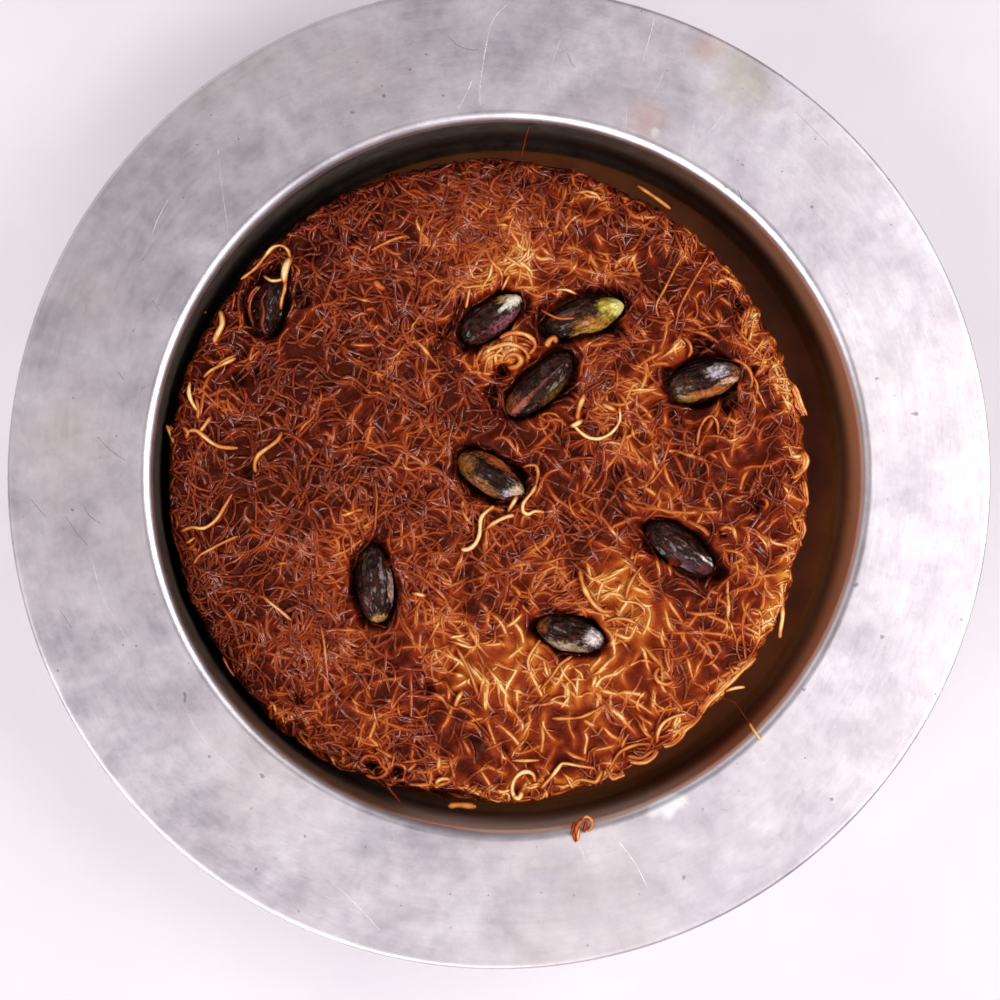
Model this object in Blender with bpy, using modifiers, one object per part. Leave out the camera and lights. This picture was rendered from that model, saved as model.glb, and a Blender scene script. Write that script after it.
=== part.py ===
# Kunafa in its metal dish: a flat round cake of baked kataifi strands, with pistachio
# kernels baked into the crust, in a deep dish with a wide flat rim.
# Metres, +Z up, origin on the table under the middle of the rim.

import math
import random

import bmesh
import bpy
from mathutils import Matrix, Vector, noise

# Dish
RIM_RADIUS = 0.1100  # outer edge of the flat rim
RIM_RISE = 0.0007  # the rim climbs this much from the lip to its edge
SHEET = 0.0015  # thickness of the metal
LIP_HEIGHT = 0.0320  # top of the lip above the table
LIP_ROUND = 0.0024  # rounding of the lip, on the upper face
WELL_CENTRE = (0.0017, 0.0004)  # the well was pressed a little off the middle of the rim
WALL_TOP_RADIUS = 0.0793  # inner face of the well, just under the lip
WALL_FOOT_RADIUS = 0.0782  # inner face of the well, just above the foot's rounding
FOOT_ROUND = 0.0042  # rounding between wall and floor, on the inner face
DISH_STEPS = 64

# Cake
CAKE_CENTRE = (-0.0025, -0.0009)  # it lies off the middle of the well
CAKE_RADIUS = 0.0723
CAKE_BASE = 0.0018
CAKE_TOP = 0.0247
CAKE_EDGE = 0.0018  # rounding of the top edge
CAKE_RINGS = 17
CAKE_STEPS = 64
CRUST_RELIEF = 0.0008  # height of the crags in the crust
CRAG_SCALE = 210.0  # crags repeat over about one part in this many of a metre
CRUST_SWELL = 0.0006  # height of the slow swells under the crags
SWELL_SCALE = 38.0
EDGE_SAG = 0.0011  # the crust sinks this much at its rim
EDGE_SAG_REACH = 0.0045
OUTLINE_RELIEF = 0.0007  # how far the outline wanders from a true circle
SIDE_SCALE = (9.0, 280.0)  # crags of the side, round it and up it

# Strands
STRAND_RADIUS = 0.00055
STRAND_COUNT = 62
STRAND_LENGTH = (0.013, 0.028)
STRAND_PROUD = (0.0003, 0.0008)  # height of a strand's middle line over the crust
STRAND_STEP = 0.0050  # distance between the points of a strand's line
FRINGE_COUNT = 14
FRINGE_LENGTH = (0.015, 0.024)
STRAND_SEED = 26

# Loose curls of pale dough lying on the crust: x, y, radius, first angle and sweep in degrees
CURLS = [
    (0.0213, 0.0124, 0.0039, 175.0, 215.0),
    (-0.0016, -0.0102, 0.0057, 20.0, 95.0),
    (0.0054, -0.0083, 0.0033, 150.0, 130.0),
    (-0.0521, 0.0459, 0.0046, -20.0, 150.0),
    (-0.0567, 0.0116, 0.0056, 60.0, 110.0),
    (0.0216, -0.0264, 0.0083, 150.0, 75.0),
    (0.0082, -0.0649, 0.0032, 20.0, 170.0),
    (0.0304, -0.0607, 0.0074, 70.0, 80.0),
]

# Pistachio kernels: x, y, length, width, heading and nose-up tilt in degrees
KERNELS = [
    (-0.0522, 0.0393, 0.0158, 0.0090, 72.0, 2.0),
    (-0.0020, 0.0361, 0.0170, 0.0090, 35.0, 8.0),
    (0.0190, 0.0366, 0.0194, 0.0094, 16.0, 9.0),
    (0.0093, 0.0212, 0.0199, 0.0095, 43.0, 0.0),
    (0.0463, 0.0221, 0.0178, 0.0095, 15.0, 7.0),
    (-0.0018, 0.0005, 0.0175, 0.0091, -32.0, 6.0),
    (-0.0283, -0.0240, 0.0179, 0.0094, 94.0, 2.0),
    (0.0162, -0.0354, 0.0158, 0.0088, -14.0, 5.0),
    (0.0411, -0.0160, 0.0183, 0.0089, -36.0, -6.0),
]
KERNEL_FLATNESS = 0.86  # a kernel's thickness over its width
KERNEL_SINK = 0.0031  # how far a kernel's middle lies under the crust
KERNEL_TAPER = 0.20  # how much narrower the nose end is than the root end
POCKET_GAP = 0.0005  # clear space round a kernel in its pocket
POCKET_LIFT = 0.0040  # how far a pocket's upper half is drawn up through the crust
POCKET_MARGIN = 0.0016  # strands keep this far from a pocket
GOLDEN_ANGLE = math.pi * (3 - math.sqrt(5))


def clear_scene():
    for obj in list(bpy.data.objects):
        bpy.data.objects.remove(obj, do_unlink=True)


def new_collection(name):
    made = bpy.data.collections.new(name)
    bpy.context.scene.collection.children.link(made)
    return made


def finish(name, colour, roughness, metallic=0.0):
    """A plain material of one colour."""
    made = bpy.data.materials.new(name)
    made.use_nodes = True
    shader = made.node_tree.nodes["Principled BSDF"]
    shader.inputs["Base Color"].default_value = (*colour, 1.0)
    shader.inputs["Roughness"].default_value = roughness
    shader.inputs["Metallic"].default_value = metallic
    return made


def new_object(name, mesh, collection, material):
    made = bpy.data.objects.new(name, mesh)
    collection.objects.link(made)
    made.data.materials.append(material)
    return made


def mesh_of(obj, weld=True):
    """The object's evaluated shape as a mesh of its own, with coincident points welded."""
    bpy.context.view_layer.update()
    graph = bpy.context.evaluated_depsgraph_get()
    mesh = bpy.data.meshes.new_from_object(obj.evaluated_get(graph))
    if not weld:
        return mesh
    shape = bmesh.new()
    shape.from_mesh(mesh)
    bmesh.ops.remove_doubles(shape, verts=shape.verts, dist=1e-6)
    shape.to_mesh(mesh)
    shape.free()
    return mesh


def arc(centre, radius, first, last, steps):
    """Points of a profile on a circle round (x, z), angles in degrees."""
    points = []
    for i in range(steps + 1):
        angle = math.radians(first + (last - first) * i / steps)
        points.append((centre[0] + radius * math.cos(angle), centre[1] + radius * math.sin(angle)))
    return points


def turned(name, profile, steps, collection, material):
    """A profile of (x, z) points, which ends by running down its outer side, turned about Z."""
    mesh = bpy.data.meshes.new(name)
    points = [(x, 0.0, z) for x, z in profile]
    mesh.from_pydata(points, [(i, i + 1) for i in range(len(points) - 1)], [])
    made = new_object(name, mesh, collection, material)
    screw = made.modifiers.new("turn", "SCREW")
    screw.steps = steps
    screw.render_steps = steps
    screw.use_merge_vertices = True
    screw.merge_threshold = 0.00001
    screw.use_smooth_shade = True
    return made


def dish_profile():
    """Over the floor, wall, lip and rim, round the rim's edge, and back down the outer side."""
    lip_centre = (WALL_TOP_RADIUS + LIP_ROUND, LIP_HEIGHT - LIP_ROUND)
    foot_centre = (WALL_FOOT_RADIUS - FOOT_ROUND, SHEET + FOOT_ROUND)
    edge_centre = (RIM_RADIUS - SHEET / 2, LIP_HEIGHT + RIM_RISE - SHEET / 2)
    profile = [(0.0, SHEET)]
    profile += arc(foot_centre, FOOT_ROUND, -90, 0, 3)
    profile += arc(lip_centre, LIP_ROUND, 180, 90, 4)
    profile += arc(edge_centre, SHEET / 2, 90, -90, 3)
    profile += arc(lip_centre, LIP_ROUND - SHEET, 90, 180, 2)
    profile += arc(foot_centre, FOOT_ROUND + SHEET, 0, -90, 3)
    profile.append((0.0, 0.0))
    return profile


def make_dish(collection, material):
    """The turned dish, with its well moved off the middle of the rim."""
    dish = turned("dish", dish_profile(), DISH_STEPS, collection, material)
    mesh = mesh_of(dish)
    dish.modifiers.clear()
    dish.data = mesh
    lip_end = WALL_TOP_RADIUS + LIP_ROUND
    for vertex in mesh.vertices:
        reach = math.hypot(vertex.co.x, vertex.co.y)
        onto_rim = (reach - lip_end) / (RIM_RADIUS - lip_end)
        share = 1.0 - max(0.0, onto_rim)
        vertex.co.x += WELL_CENTRE[0] * share
        vertex.co.y += WELL_CENTRE[1] * share


def outline_radius(angle):
    """The cake's radius at an angle round its own axis."""
    around = Vector((math.cos(angle), math.sin(angle), 0.0))
    return CAKE_RADIUS + OUTLINE_RELIEF * (
        noise.noise(around * 1.3) + 0.6 * noise.noise(around * 7.0)
    )


def crust_height(x, y):
    """Height of the crust over the cake's own axis frame: slow swells, crags and a soft edge."""
    swell = CRUST_SWELL * noise.noise(Vector((x, y, 0.0)) * SWELL_SCALE)
    crags = CRUST_RELIEF * noise.noise(Vector((x, y, 0.02)) * CRAG_SCALE)
    from_edge = max(0.0, outline_radius(math.atan2(y, x)) - math.hypot(x, y))
    sag = EDGE_SAG * math.exp(-from_edge / EDGE_SAG_REACH)
    return CAKE_TOP + swell + crags - sag


def cake_profile():
    side = CAKE_RADIUS
    edge_centre = (side - CAKE_EDGE, CAKE_TOP - CAKE_EDGE)
    profile = [((side - CAKE_EDGE) * i / CAKE_RINGS, CAKE_TOP) for i in range(CAKE_RINGS)]
    profile += arc(edge_centre, CAKE_EDGE, 90, 0, 2)
    profile += [(side + 0.0003, CAKE_BASE + 0.0125), (side + 0.0004, CAKE_BASE + 0.0044)]
    profile += arc((side - 0.0020, CAKE_BASE + 0.0024), 0.0024, 0, -90, 2)
    profile += [(side * 0.5, CAKE_BASE), (0.0, CAKE_BASE)]
    return profile


def make_core(collection, material):
    """The cake's body: a turned form whose crust and outline are then made uneven."""
    smooth = turned("core_form", cake_profile(), CAKE_STEPS, collection, material)
    mesh = mesh_of(smooth)
    bpy.data.objects.remove(smooth, do_unlink=True)
    for vertex in mesh.vertices:
        x, y, z = vertex.co
        reach = math.hypot(x, y)
        angle = math.atan2(y, x)
        share = min(1.0, reach / CAKE_RADIUS)
        wander = (outline_radius(angle) - CAKE_RADIUS) * share
        if z > CAKE_TOP - CAKE_EDGE * 0.75:
            vertex.co.z += crust_height(x, y) - CAKE_TOP
        elif z > CAKE_BASE + 0.0010:
            around = SIDE_SCALE[0] * Vector((math.cos(angle), math.sin(angle), 0.0))
            place = around + Vector((0.0, 0.0, z * SIDE_SCALE[1]))
            wander += CRUST_RELIEF * 0.8 * noise.noise(place)
        if reach > 0:
            vertex.co.x += wander * x / reach
            vertex.co.y += wander * y / reach
    core = new_object("kunafa", mesh, collection, material)
    core.location = (*CAKE_CENTRE, 0.0)
    return core


def kernel_mesh(name, length, width, grow=0.0):
    """A pistachio kernel along X: rounded root, narrower nose, a little flat."""
    shape = bmesh.new()
    bmesh.ops.create_uvsphere(shape, u_segments=10, v_segments=8, radius=1.0)
    bmesh.ops.rotate(shape, verts=shape.verts, matrix=Matrix.Rotation(math.pi / 2, 3, "Y"))
    for vertex in shape.verts:
        x, y, z = vertex.co
        narrow = 1.0 - KERNEL_TAPER * (x + 1) / 2
        vertex.co.x = x * (length / 2 + grow)
        vertex.co.y = y * (width / 2 * narrow + grow)
        vertex.co.z = z * (width / 2 * KERNEL_FLATNESS * narrow + grow)
    mesh = bpy.data.meshes.new(name)
    shape.to_mesh(mesh)
    shape.free()
    mesh.shade_smooth()
    return mesh


def place_kernel(obj, x, y, heading, tilt):
    """Sets a kernel into the crust; x and y are in the dish's frame."""
    local = (x - CAKE_CENTRE[0], y - CAKE_CENTRE[1])
    obj.location = (x, y, crust_height(*local) - KERNEL_SINK)
    obj.rotation_euler = (0.0, -math.radians(tilt), math.radians(heading))


def make_kernels(collection, material):
    for number, (x, y, length, width, heading, tilt) in enumerate(KERNELS, start=1):
        name = f"pistachio_{number}"
        kernel = new_object(name, kernel_mesh(name, length, width), collection, material)
        place_kernel(kernel, x, y, heading, tilt)


def make_pockets(collection, material):
    """Cutters a little larger than the kernels, open upwards."""
    for number, (x, y, length, width, heading, tilt) in enumerate(KERNELS, start=1):
        name = f"pocket_{number}"
        mesh = kernel_mesh(name, length, width, POCKET_GAP)
        # The upper half is drawn up, so that no thin lip of crust closes over the kernel.
        for vertex in mesh.vertices:
            vertex.co.z += POCKET_LIFT if vertex.co.z > 0.0001 else 0.0
        cutter = new_object(name, mesh, collection, material)
        place_kernel(cutter, x, y, heading, tilt)
        cutter.hide_render = True
        cutter.display_type = "WIRE"


def near_kernel(x, y):
    """Whether a point of the dish's frame lies in or beside a kernel's pocket."""
    for kernel_x, kernel_y, length, width, heading, _ in KERNELS:
        angle = math.radians(heading)
        dx = x - kernel_x
        dy = y - kernel_y
        along = dx * math.cos(angle) + dy * math.sin(angle)
        across = dy * math.cos(angle) - dx * math.sin(angle)
        half_length = length / 2 + POCKET_GAP + POCKET_MARGIN
        half_width = width / 2 + POCKET_GAP + POCKET_MARGIN
        if (along / half_length) ** 2 + (across / half_width) ** 2 < 1:
            return True
    return False


def strand_tube(name, points, collection, material):
    """A strand of dough along its points, as a closed mesh with few sides."""
    line = bpy.data.curves.new(name, "CURVE")
    line.dimensions = "3D"
    line.bevel_depth = STRAND_RADIUS
    line.bevel_resolution = 0
    line.use_fill_caps = True
    spline = line.splines.new("POLY")
    spline.points.add(len(points) - 1)
    for point, place in zip(spline.points, points):
        point.co = (*place, 1.0)
    curve = bpy.data.objects.new(name + "_line", line)
    collection.objects.link(curve)
    mesh = mesh_of(curve)
    made = new_object(name, mesh, collection, material)
    made.matrix_world = curve.matrix_world
    bpy.data.objects.remove(curve, do_unlink=True)
    made.hide_render = True
    return made


def lifted(plan, high, low=-0.0003):
    """Raises a strand's points onto the crust: its ends are sunk and its middle stands proud."""
    points = []
    for i, (x, y) in enumerate(plan):
        arch = math.sin(math.pi * i / (len(plan) - 1))
        local = (x - CAKE_CENTRE[0], y - CAKE_CENTRE[1])
        points.append((x, y, crust_height(*local) + low + (high - low) * arch))
    return points


def strand_plan(x, y, heading, bend, length):
    """Points along a gently bending strand, cut short where it would meet a pocket or the edge."""
    plan = []
    steps = max(3, round(length / STRAND_STEP))
    for i in range(steps + 1):
        if near_kernel(x, y):
            break
        if math.hypot(x - CAKE_CENTRE[0], y - CAKE_CENTRE[1]) > CAKE_RADIUS - CAKE_EDGE:
            break
        plan.append((x, y))
        turn = heading + bend * i / steps
        x += length / steps * math.cos(turn)
        y += length / steps * math.sin(turn)
    return plan


def make_top_strands(collection, material):
    """Strands spread over the crust on a sunflower pattern, each with a heading of its own."""
    draw = random.Random(STRAND_SEED)
    for i in range(STRAND_COUNT):
        reach = (CAKE_RADIUS - 0.006) * math.sqrt((i + 0.5) / STRAND_COUNT)
        angle = i * GOLDEN_ANGLE + draw.uniform(-0.2, 0.2)
        heading = draw.uniform(0, 2 * math.pi)
        bend = draw.uniform(-1.5, 1.5)
        length = draw.uniform(*STRAND_LENGTH)
        x = CAKE_CENTRE[0] + reach * math.cos(angle)
        y = CAKE_CENTRE[1] + reach * math.sin(angle)
        # Steps back by half the length, so that the strand is centred on its place.
        x -= length / 2 * math.cos(heading + bend / 4)
        y -= length / 2 * math.sin(heading + bend / 4)
        plan = strand_plan(x, y, heading, bend, length)
        if len(plan) >= 4:
            strand_tube(f"strand_{i}", lifted(plan, draw.uniform(*STRAND_PROUD)), collection, material)


def make_curls(collection, material):
    for i, (x, y, radius, first, sweep) in enumerate(CURLS):
        steps = max(4, round(math.radians(sweep) * radius / 0.0027))
        plan = arc((x, y), radius, first, first + sweep, steps)
        clear = [place for place in plan if not near_kernel(*place)]
        if len(clear) == len(plan):
            strand_tube(f"curl_{i}", lifted(plan, STRAND_PROUD[1]), collection, material)


def make_fringe(collection, material):
    """Strands that run round the cut side, at heights of their own."""
    draw = random.Random(STRAND_SEED + 1)
    for i in range(FRINGE_COUNT):
        angle = 2 * math.pi * (i + draw.uniform(-0.3, 0.3)) / FRINGE_COUNT
        sweep = draw.uniform(*FRINGE_LENGTH) / CAKE_RADIUS
        low = draw.uniform(0.0065, CAKE_TOP - 0.0055)
        climb = draw.uniform(-0.004, 0.004)
        steps = 5
        points = []
        for step in range(steps + 1):
            share = step / steps
            turn = angle + sweep * share
            proud = 0.0004 * math.sin(math.pi * share) - 0.0001
            reach = outline_radius(turn) + 0.0003 + proud
            points.append(
                (
                    CAKE_CENTRE[0] + reach * math.cos(turn),
                    CAKE_CENTRE[1] + reach * math.sin(turn),
                    low + climb * share,
                )
            )
        strand_tube(f"fringe_{i}", points, collection, material)


def apply_boolean(target, operation, collection, solver):
    """Joins or cuts a whole collection, applies the result and removes the collection's objects."""
    step = target.modifiers.new(operation.lower(), "BOOLEAN")
    step.operation = operation
    step.operand_type = "COLLECTION"
    step.collection = collection
    step.solver = solver
    mesh = mesh_of(target, weld=False)
    target.modifiers.clear()
    target.data = mesh
    for obj in list(collection.objects):
        bpy.data.objects.remove(obj, do_unlink=True)
    bpy.data.collections.remove(collection)


def keep_largest_shell(obj):
    """Drops loose scraps and the walls of hollows that fusing has sealed."""
    shape = bmesh.new()
    shape.from_mesh(obj.data)
    left = set(shape.verts)
    shells = []
    while left:
        shell = {left.pop()}
        edge_of_shell = list(shell)
        while edge_of_shell:
            vertex = edge_of_shell.pop()
            for edge in vertex.link_edges:
                other = edge.other_vert(vertex)
                if other in left:
                    left.discard(other)
                    shell.add(other)
                    edge_of_shell.append(other)
        shells.append(shell)
    shells.sort(key=len)
    for shell in shells[:-1]:
        bmesh.ops.delete(shape, geom=list(shell), context="VERTS")
    bmesh.ops.triangulate(shape, faces=shape.faces)
    shape.to_mesh(obj.data)
    shape.free()


def build():
    clear_scene()
    parts = new_collection("kunafa_in_dish")
    metal = finish("dish_metal", (0.62, 0.60, 0.62), 0.38, 1.0)
    crust = finish("browned_strands", (0.36, 0.10, 0.03), 0.35)
    nut = finish("pistachio", (0.10, 0.05, 0.06), 0.35)

    make_dish(parts, metal)
    make_kernels(parts, nut)

    cake = make_core(parts, crust)
    pockets = new_collection("pockets")
    make_pockets(pockets, crust)
    apply_boolean(cake, "DIFFERENCE", pockets, "EXACT")
    strands = new_collection("strands")
    make_top_strands(strands, crust)
    make_curls(strands, crust)
    make_fringe(strands, crust)
    apply_boolean(cake, "UNION", strands, "MANIFOLD")
    keep_largest_shell(cake)


build()
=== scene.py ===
import math
import random

import bmesh
import bpy
from mathutils import Matrix, Vector, kdtree, noise
from mathutils.bvhtree import BVHTree


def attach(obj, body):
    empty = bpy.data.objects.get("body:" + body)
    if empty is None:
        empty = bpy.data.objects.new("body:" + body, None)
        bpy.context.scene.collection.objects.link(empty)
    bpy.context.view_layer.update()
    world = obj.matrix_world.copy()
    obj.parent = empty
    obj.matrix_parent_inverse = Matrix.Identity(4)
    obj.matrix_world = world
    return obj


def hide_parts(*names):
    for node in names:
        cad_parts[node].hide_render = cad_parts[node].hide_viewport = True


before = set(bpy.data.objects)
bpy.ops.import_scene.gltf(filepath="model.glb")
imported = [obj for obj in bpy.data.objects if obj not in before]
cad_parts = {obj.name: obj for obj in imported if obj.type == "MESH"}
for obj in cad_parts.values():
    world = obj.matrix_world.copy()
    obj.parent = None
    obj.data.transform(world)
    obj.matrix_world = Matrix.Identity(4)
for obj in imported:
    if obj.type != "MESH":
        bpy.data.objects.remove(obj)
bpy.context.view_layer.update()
scene = bpy.context.scene
mm = 0.001
photoMiddle = (0.22, -5.03)                   # where pixel 500, 500 lies, in mm
crustPixel, rimPixel = 0.2261, 0.22358        # mm to a pixel; the rim lies nearer the camera
print("frame loaded:", len(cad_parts), "CAD nodes")


# The photo looks straight down, so a place in it, in pixels, is a place on the crust or the rim
def photoPlace(across, down, pixel=crustPixel):
    return (photoMiddle[0] + (across - 500) * pixel) * mm, (photoMiddle[1] - (down - 500) * pixel) * mm


# Tables hold points as plain rows of numbers: two to a point, or three where it has a height
def pointsOf(numbers, size=2):
    return [numbers[i:i + size] for i in range(0, len(numbers), size)]


def srgb(red, green, blue):
    channels = []
    for value in (red / 255, green / 255, blue / 255):
        channels.append(value / 12.92 if value <= 0.04045 else ((value + 0.055) / 1.055) ** 2.4)
    return (*channels, 1.0)


def smoothStep(low, high, value):
    share = min(1.0, max(0.0, (value - low) / (high - low)))
    return share * share * (3 - 2 * share)


# Smooth noise over the crust, from -1 to 1. Each use has a layer of its own, and a finer grain with a higher scale.
def noiseAt(x, y, layer, scale):
    return noise.noise(Vector((x, y, layer)) * scale)


# Materials. A node's inputs are given by name or number, as a value or as the socket that feeds it.
def feed(tree, sockets, inputs):
    for name, value in inputs.items():
        if isinstance(value, bpy.types.NodeSocket):
            tree.links.new(value, sockets[name])
        else:
            sockets[name].default_value = value


# Colours are given in bytes, or linear with their alpha
def paint(colour):
    return srgb(*colour) if isinstance(colour, tuple) and len(colour) == 3 else colour


def addNode(tree, kind, inputs=None, **settings):
    node = tree.nodes.new(kind)
    for name, value in settings.items():
        setattr(node, name, value)
    feed(tree, node.inputs, inputs or {})
    return node


def addAttribute(tree, name, output="Fac"):
    return addNode(tree, "ShaderNodeAttribute", attribute_name=name).outputs[output]


def addRamp(tree, factor, stops):
    node = addNode(tree, "ShaderNodeValToRGB", {"Fac": factor})
    elements = node.color_ramp.elements
    while len(elements) < len(stops):
        elements.new(0.5)
    for element, (place, colour) in zip(elements, stops):
        element.position = place
        element.color = paint(colour)
    return node.outputs["Color"]


def addRange(tree, value, fromLow, fromHigh, toLow, toHigh):
    node = addNode(tree, "ShaderNodeMapRange", {0: value, 1: fromLow, 2: fromHigh, 3: toLow, 4: toHigh})
    return node.outputs[0]


def addMath(tree, operation, first, second=0.0, clamp=False):
    node = addNode(tree, "ShaderNodeMath", {0: first, 1: second}, operation=operation, use_clamp=clamp)
    return node.outputs[0]


def addMix(tree, factor, first, second, blend="MIX"):
    node = addNode(tree, "ShaderNodeMix", data_type="RGBA", blend_type=blend)
    feed(tree, node.inputs, {0: factor, 6: paint(first), 7: paint(second)})
    return node.outputs[2]


def addNoise(tree, place, scale, detail=2.0, roughness=0.5, distortion=0.0):
    node = addNode(tree, "ShaderNodeTexNoise", {
        "Vector": place, "Scale": scale, "Detail": detail,
        "Roughness": roughness, "Distortion": distortion})
    return node.outputs["Fac"]


def newMaterial(name, **sockets):
    material = bpy.data.materials.new(name)
    material.use_nodes = True
    tree = material.node_tree
    shader = tree.nodes["Principled BSDF"]
    for socket, value in sockets.items():
        shader.inputs[socket.replace("_", " ")].default_value = value
    place = tree.nodes.new("ShaderNodeTexCoord").outputs["Object"]
    return material, tree, shader, place


def newGroup(name, inputs, outputs):
    group = bpy.data.node_groups.new(name, "ShaderNodeTree")
    for label, kind, value in inputs:
        socket = group.interface.new_socket(label, in_out="INPUT", socket_type=kind)
        if value is not None:
            socket.default_value = value
    for label, kind in outputs:
        group.interface.new_socket(label, in_out="OUTPUT", socket_type=kind)
    return group, group.nodes.new("NodeGroupInput"), group.nodes.new("NodeGroupOutput")


def addGroup(tree, group, inputs):
    node = addNode(tree, "ShaderNodeGroup", node_tree=group)
    feed(tree, node.inputs, inputs)
    return node


def setBump(tree, shader, strength, distance, height):
    bump = addNode(tree, "ShaderNodeBump", {"Strength": strength, "Distance": distance * mm, "Height": height})
    tree.links.new(bump.outputs["Normal"], shader.inputs["Normal"])


# Syrup that lies thicker in one place than the next, on strands, crust and kernels
def makeSyrupGroup():
    group, given, result = newGroup(
        "syrup_glaze",
        [("Place", "NodeSocketVector", None), ("Spread", "NodeSocketFloat", 420.0),
         ("Start", "NodeSocketFloat", 0.5)],
        [("Cover", "NodeSocketFloat"), ("Ripple", "NodeSocketFloat")])
    patches = addNoise(group, given.outputs["Place"], given.outputs["Spread"], 2.0)
    full = addMath(group, "ADD", given.outputs["Start"], 0.10)
    cover = addRange(group, patches, given.outputs["Start"], full, 0.0, 1.0)
    group.links.new(cover, result.inputs["Cover"])
    fine = addNoise(group, given.outputs["Place"], addMath(group, "MULTIPLY", given.outputs["Spread"], 4.0), 3.0)
    group.links.new(fine, result.inputs["Ripple"])
    return group


# Grain that runs round the dish, as turning and wiping leave it
def makeGrainGroup():
    group, given, result = newGroup(
        "turned_grain",
        [("Place", "NodeSocketVector", None), ("Fine", "NodeSocketFloat", 900.0), ("Long", "NodeSocketFloat", 5.0)],
        [("Grain", "NodeSocketFloat")])
    parts = addNode(group, "ShaderNodeSeparateXYZ", {0: given.outputs["Place"]})
    level = addNode(group, "ShaderNodeCombineXYZ", {0: parts.outputs[0], 1: parts.outputs[1]})
    reach = addNode(group, "ShaderNodeVectorMath", {0: level.outputs[0]}, operation="LENGTH")
    around = addNode(group, "ShaderNodeVectorMath", {0: level.outputs[0]}, operation="NORMALIZE")
    turned = addNode(group, "ShaderNodeVectorMath", {
        0: around.outputs[0], "Scale": given.outputs["Long"]}, operation="SCALE")
    outward = addNode(group, "ShaderNodeCombineXYZ", {
        2: addMath(group, "MULTIPLY", reach.outputs["Value"], given.outputs["Fine"])})
    both = addNode(group, "ShaderNodeVectorMath", {0: turned.outputs[0], 1: outward.outputs[0]}, operation="ADD")
    group.links.new(addNoise(group, both.outputs[0], 1.0, 4.0, 0.65), result.inputs["Grain"])
    return group


# A soft spot with an uneven edge, for stains and bare places
def makeSpotGroup():
    group, given, result = newGroup(
        "worn_spot",
        [("Place", "NodeSocketVector", None), ("Centre", "NodeSocketVector", None),
         ("Radius", "NodeSocketFloat", 0.005), ("Soft", "NodeSocketFloat", 0.5)],
        [("Mask", "NodeSocketFloat")])
    apart = addNode(group, "ShaderNodeVectorMath", {
        0: given.outputs["Place"], 1: given.outputs["Centre"]}, operation="DISTANCE")
    share = addMath(group, "DIVIDE", apart.outputs["Value"], given.outputs["Radius"])
    ragged = addRange(group, addNoise(group, given.outputs["Place"], 260.0, 3.0), 0.3, 0.7, -0.35, 0.35)
    far = addMath(group, "ADD", share, ragged)
    inner = addMath(group, "SUBTRACT", 1.0, given.outputs["Soft"])
    mask = addNode(group, "ShaderNodeMapRange", {0: far, 1: inner, 2: 1.05, 3: 1.0, 4: 0.0})
    group.links.new(mask.outputs[0], result.inputs["Mask"])
    return group


syrupGroup = makeSyrupGroup()
grainGroup = makeGrainGroup()
spotGroup = makeSpotGroup()


# Coats a surface where syrup covers it, and gives the syrup's ripple
def setGlaze(tree, shader, place, spread, start, weight):
    glaze = addGroup(tree, syrupGroup, {"Place": place, "Spread": spread, "Start": start})
    tree.links.new(addMath(tree, "MULTIPLY", glaze.outputs["Cover"], weight), shader.inputs["Coat Weight"])
    return glaze.outputs["Ripple"]


def strandMaterial():
    material, tree, shader, place = newMaterial(
        "browned_strands", Roughness=0.32, Specular_IOR_Level=0.46, Specular_Tint=srgb(255, 184, 142),
        Coat_Roughness=0.12, Coat_IOR=1.5, Subsurface_Weight=0.20,
        Subsurface_Radius=(1.0, 0.30, 0.10), Subsurface_Scale=1.0 * mm)
    bake_and_painted_light = addAttribute(tree, "bake_and_painted_light")
    mottle = addNoise(tree, place, 380.0, 3.0, 0.6)
    tone = addMath(tree, "ADD", bake_and_painted_light, addRange(tree, mottle, 0.25, 0.75, -0.10, 0.10))
    # A strand is painted palest along its top and darker on its sides, as a painted highlight and shade
    upward = addNode(tree, "ShaderNodeSeparateXYZ", {0: tree.nodes.new("ShaderNodeTexCoord").outputs["Normal"]})
    tone = addMath(tree, "ADD", tone, addRange(tree, upward.outputs[2], 0.55, 1.0, -0.15, 0.09), True)
    colour = addRamp(tree, tone, [
        (0.00, (42, 10, 7)), (0.20, (84, 21, 9)), (0.40, (121, 39, 14)),
        (0.58, (156, 67, 25)), (0.74, (190, 104, 44)), (0.88, (216, 152, 84)),
        (1.00, (240, 208, 150))])
    tree.links.new(colour, shader.inputs["Base Color"])
    setBump(tree, shader, 0.8, 0.18, setGlaze(tree, shader, place, 420.0, 0.52, 0.9))
    return material


def crustMaterial():
    material, tree, shader, place = newMaterial(
        "syrupy_crust", Roughness=0.38, Specular_IOR_Level=0.16, Specular_Tint=srgb(255, 172, 122),
        Coat_Roughness=0.16, Coat_IOR=1.5)
    bake_and_painted_light = addAttribute(tree, "bake_and_painted_light")
    mottle = addNoise(tree, place, 620.0, 4.0, 0.65)
    tone = addMath(tree, "ADD", bake_and_painted_light, addRange(tree, mottle, 0.3, 0.7, -0.07, 0.07), True)
    colour = addRamp(tree, tone, [
        (0.00, (24, 6, 4)), (0.16, (62, 12, 6)), (0.34, (102, 27, 10)),
        (0.52, (138, 50, 18)), (0.74, (182, 94, 32)), (1.00, (210, 138, 56))])
    tree.links.new(colour, shader.inputs["Base Color"])
    setGlaze(tree, shader, place, 700.0, 0.50, 0.08)
    fibres = addNoise(tree, place, 900.0, 3.0, 0.6, 1.5)
    setBump(tree, shader, 0.8, 0.45, fibres)
    return material


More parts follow.
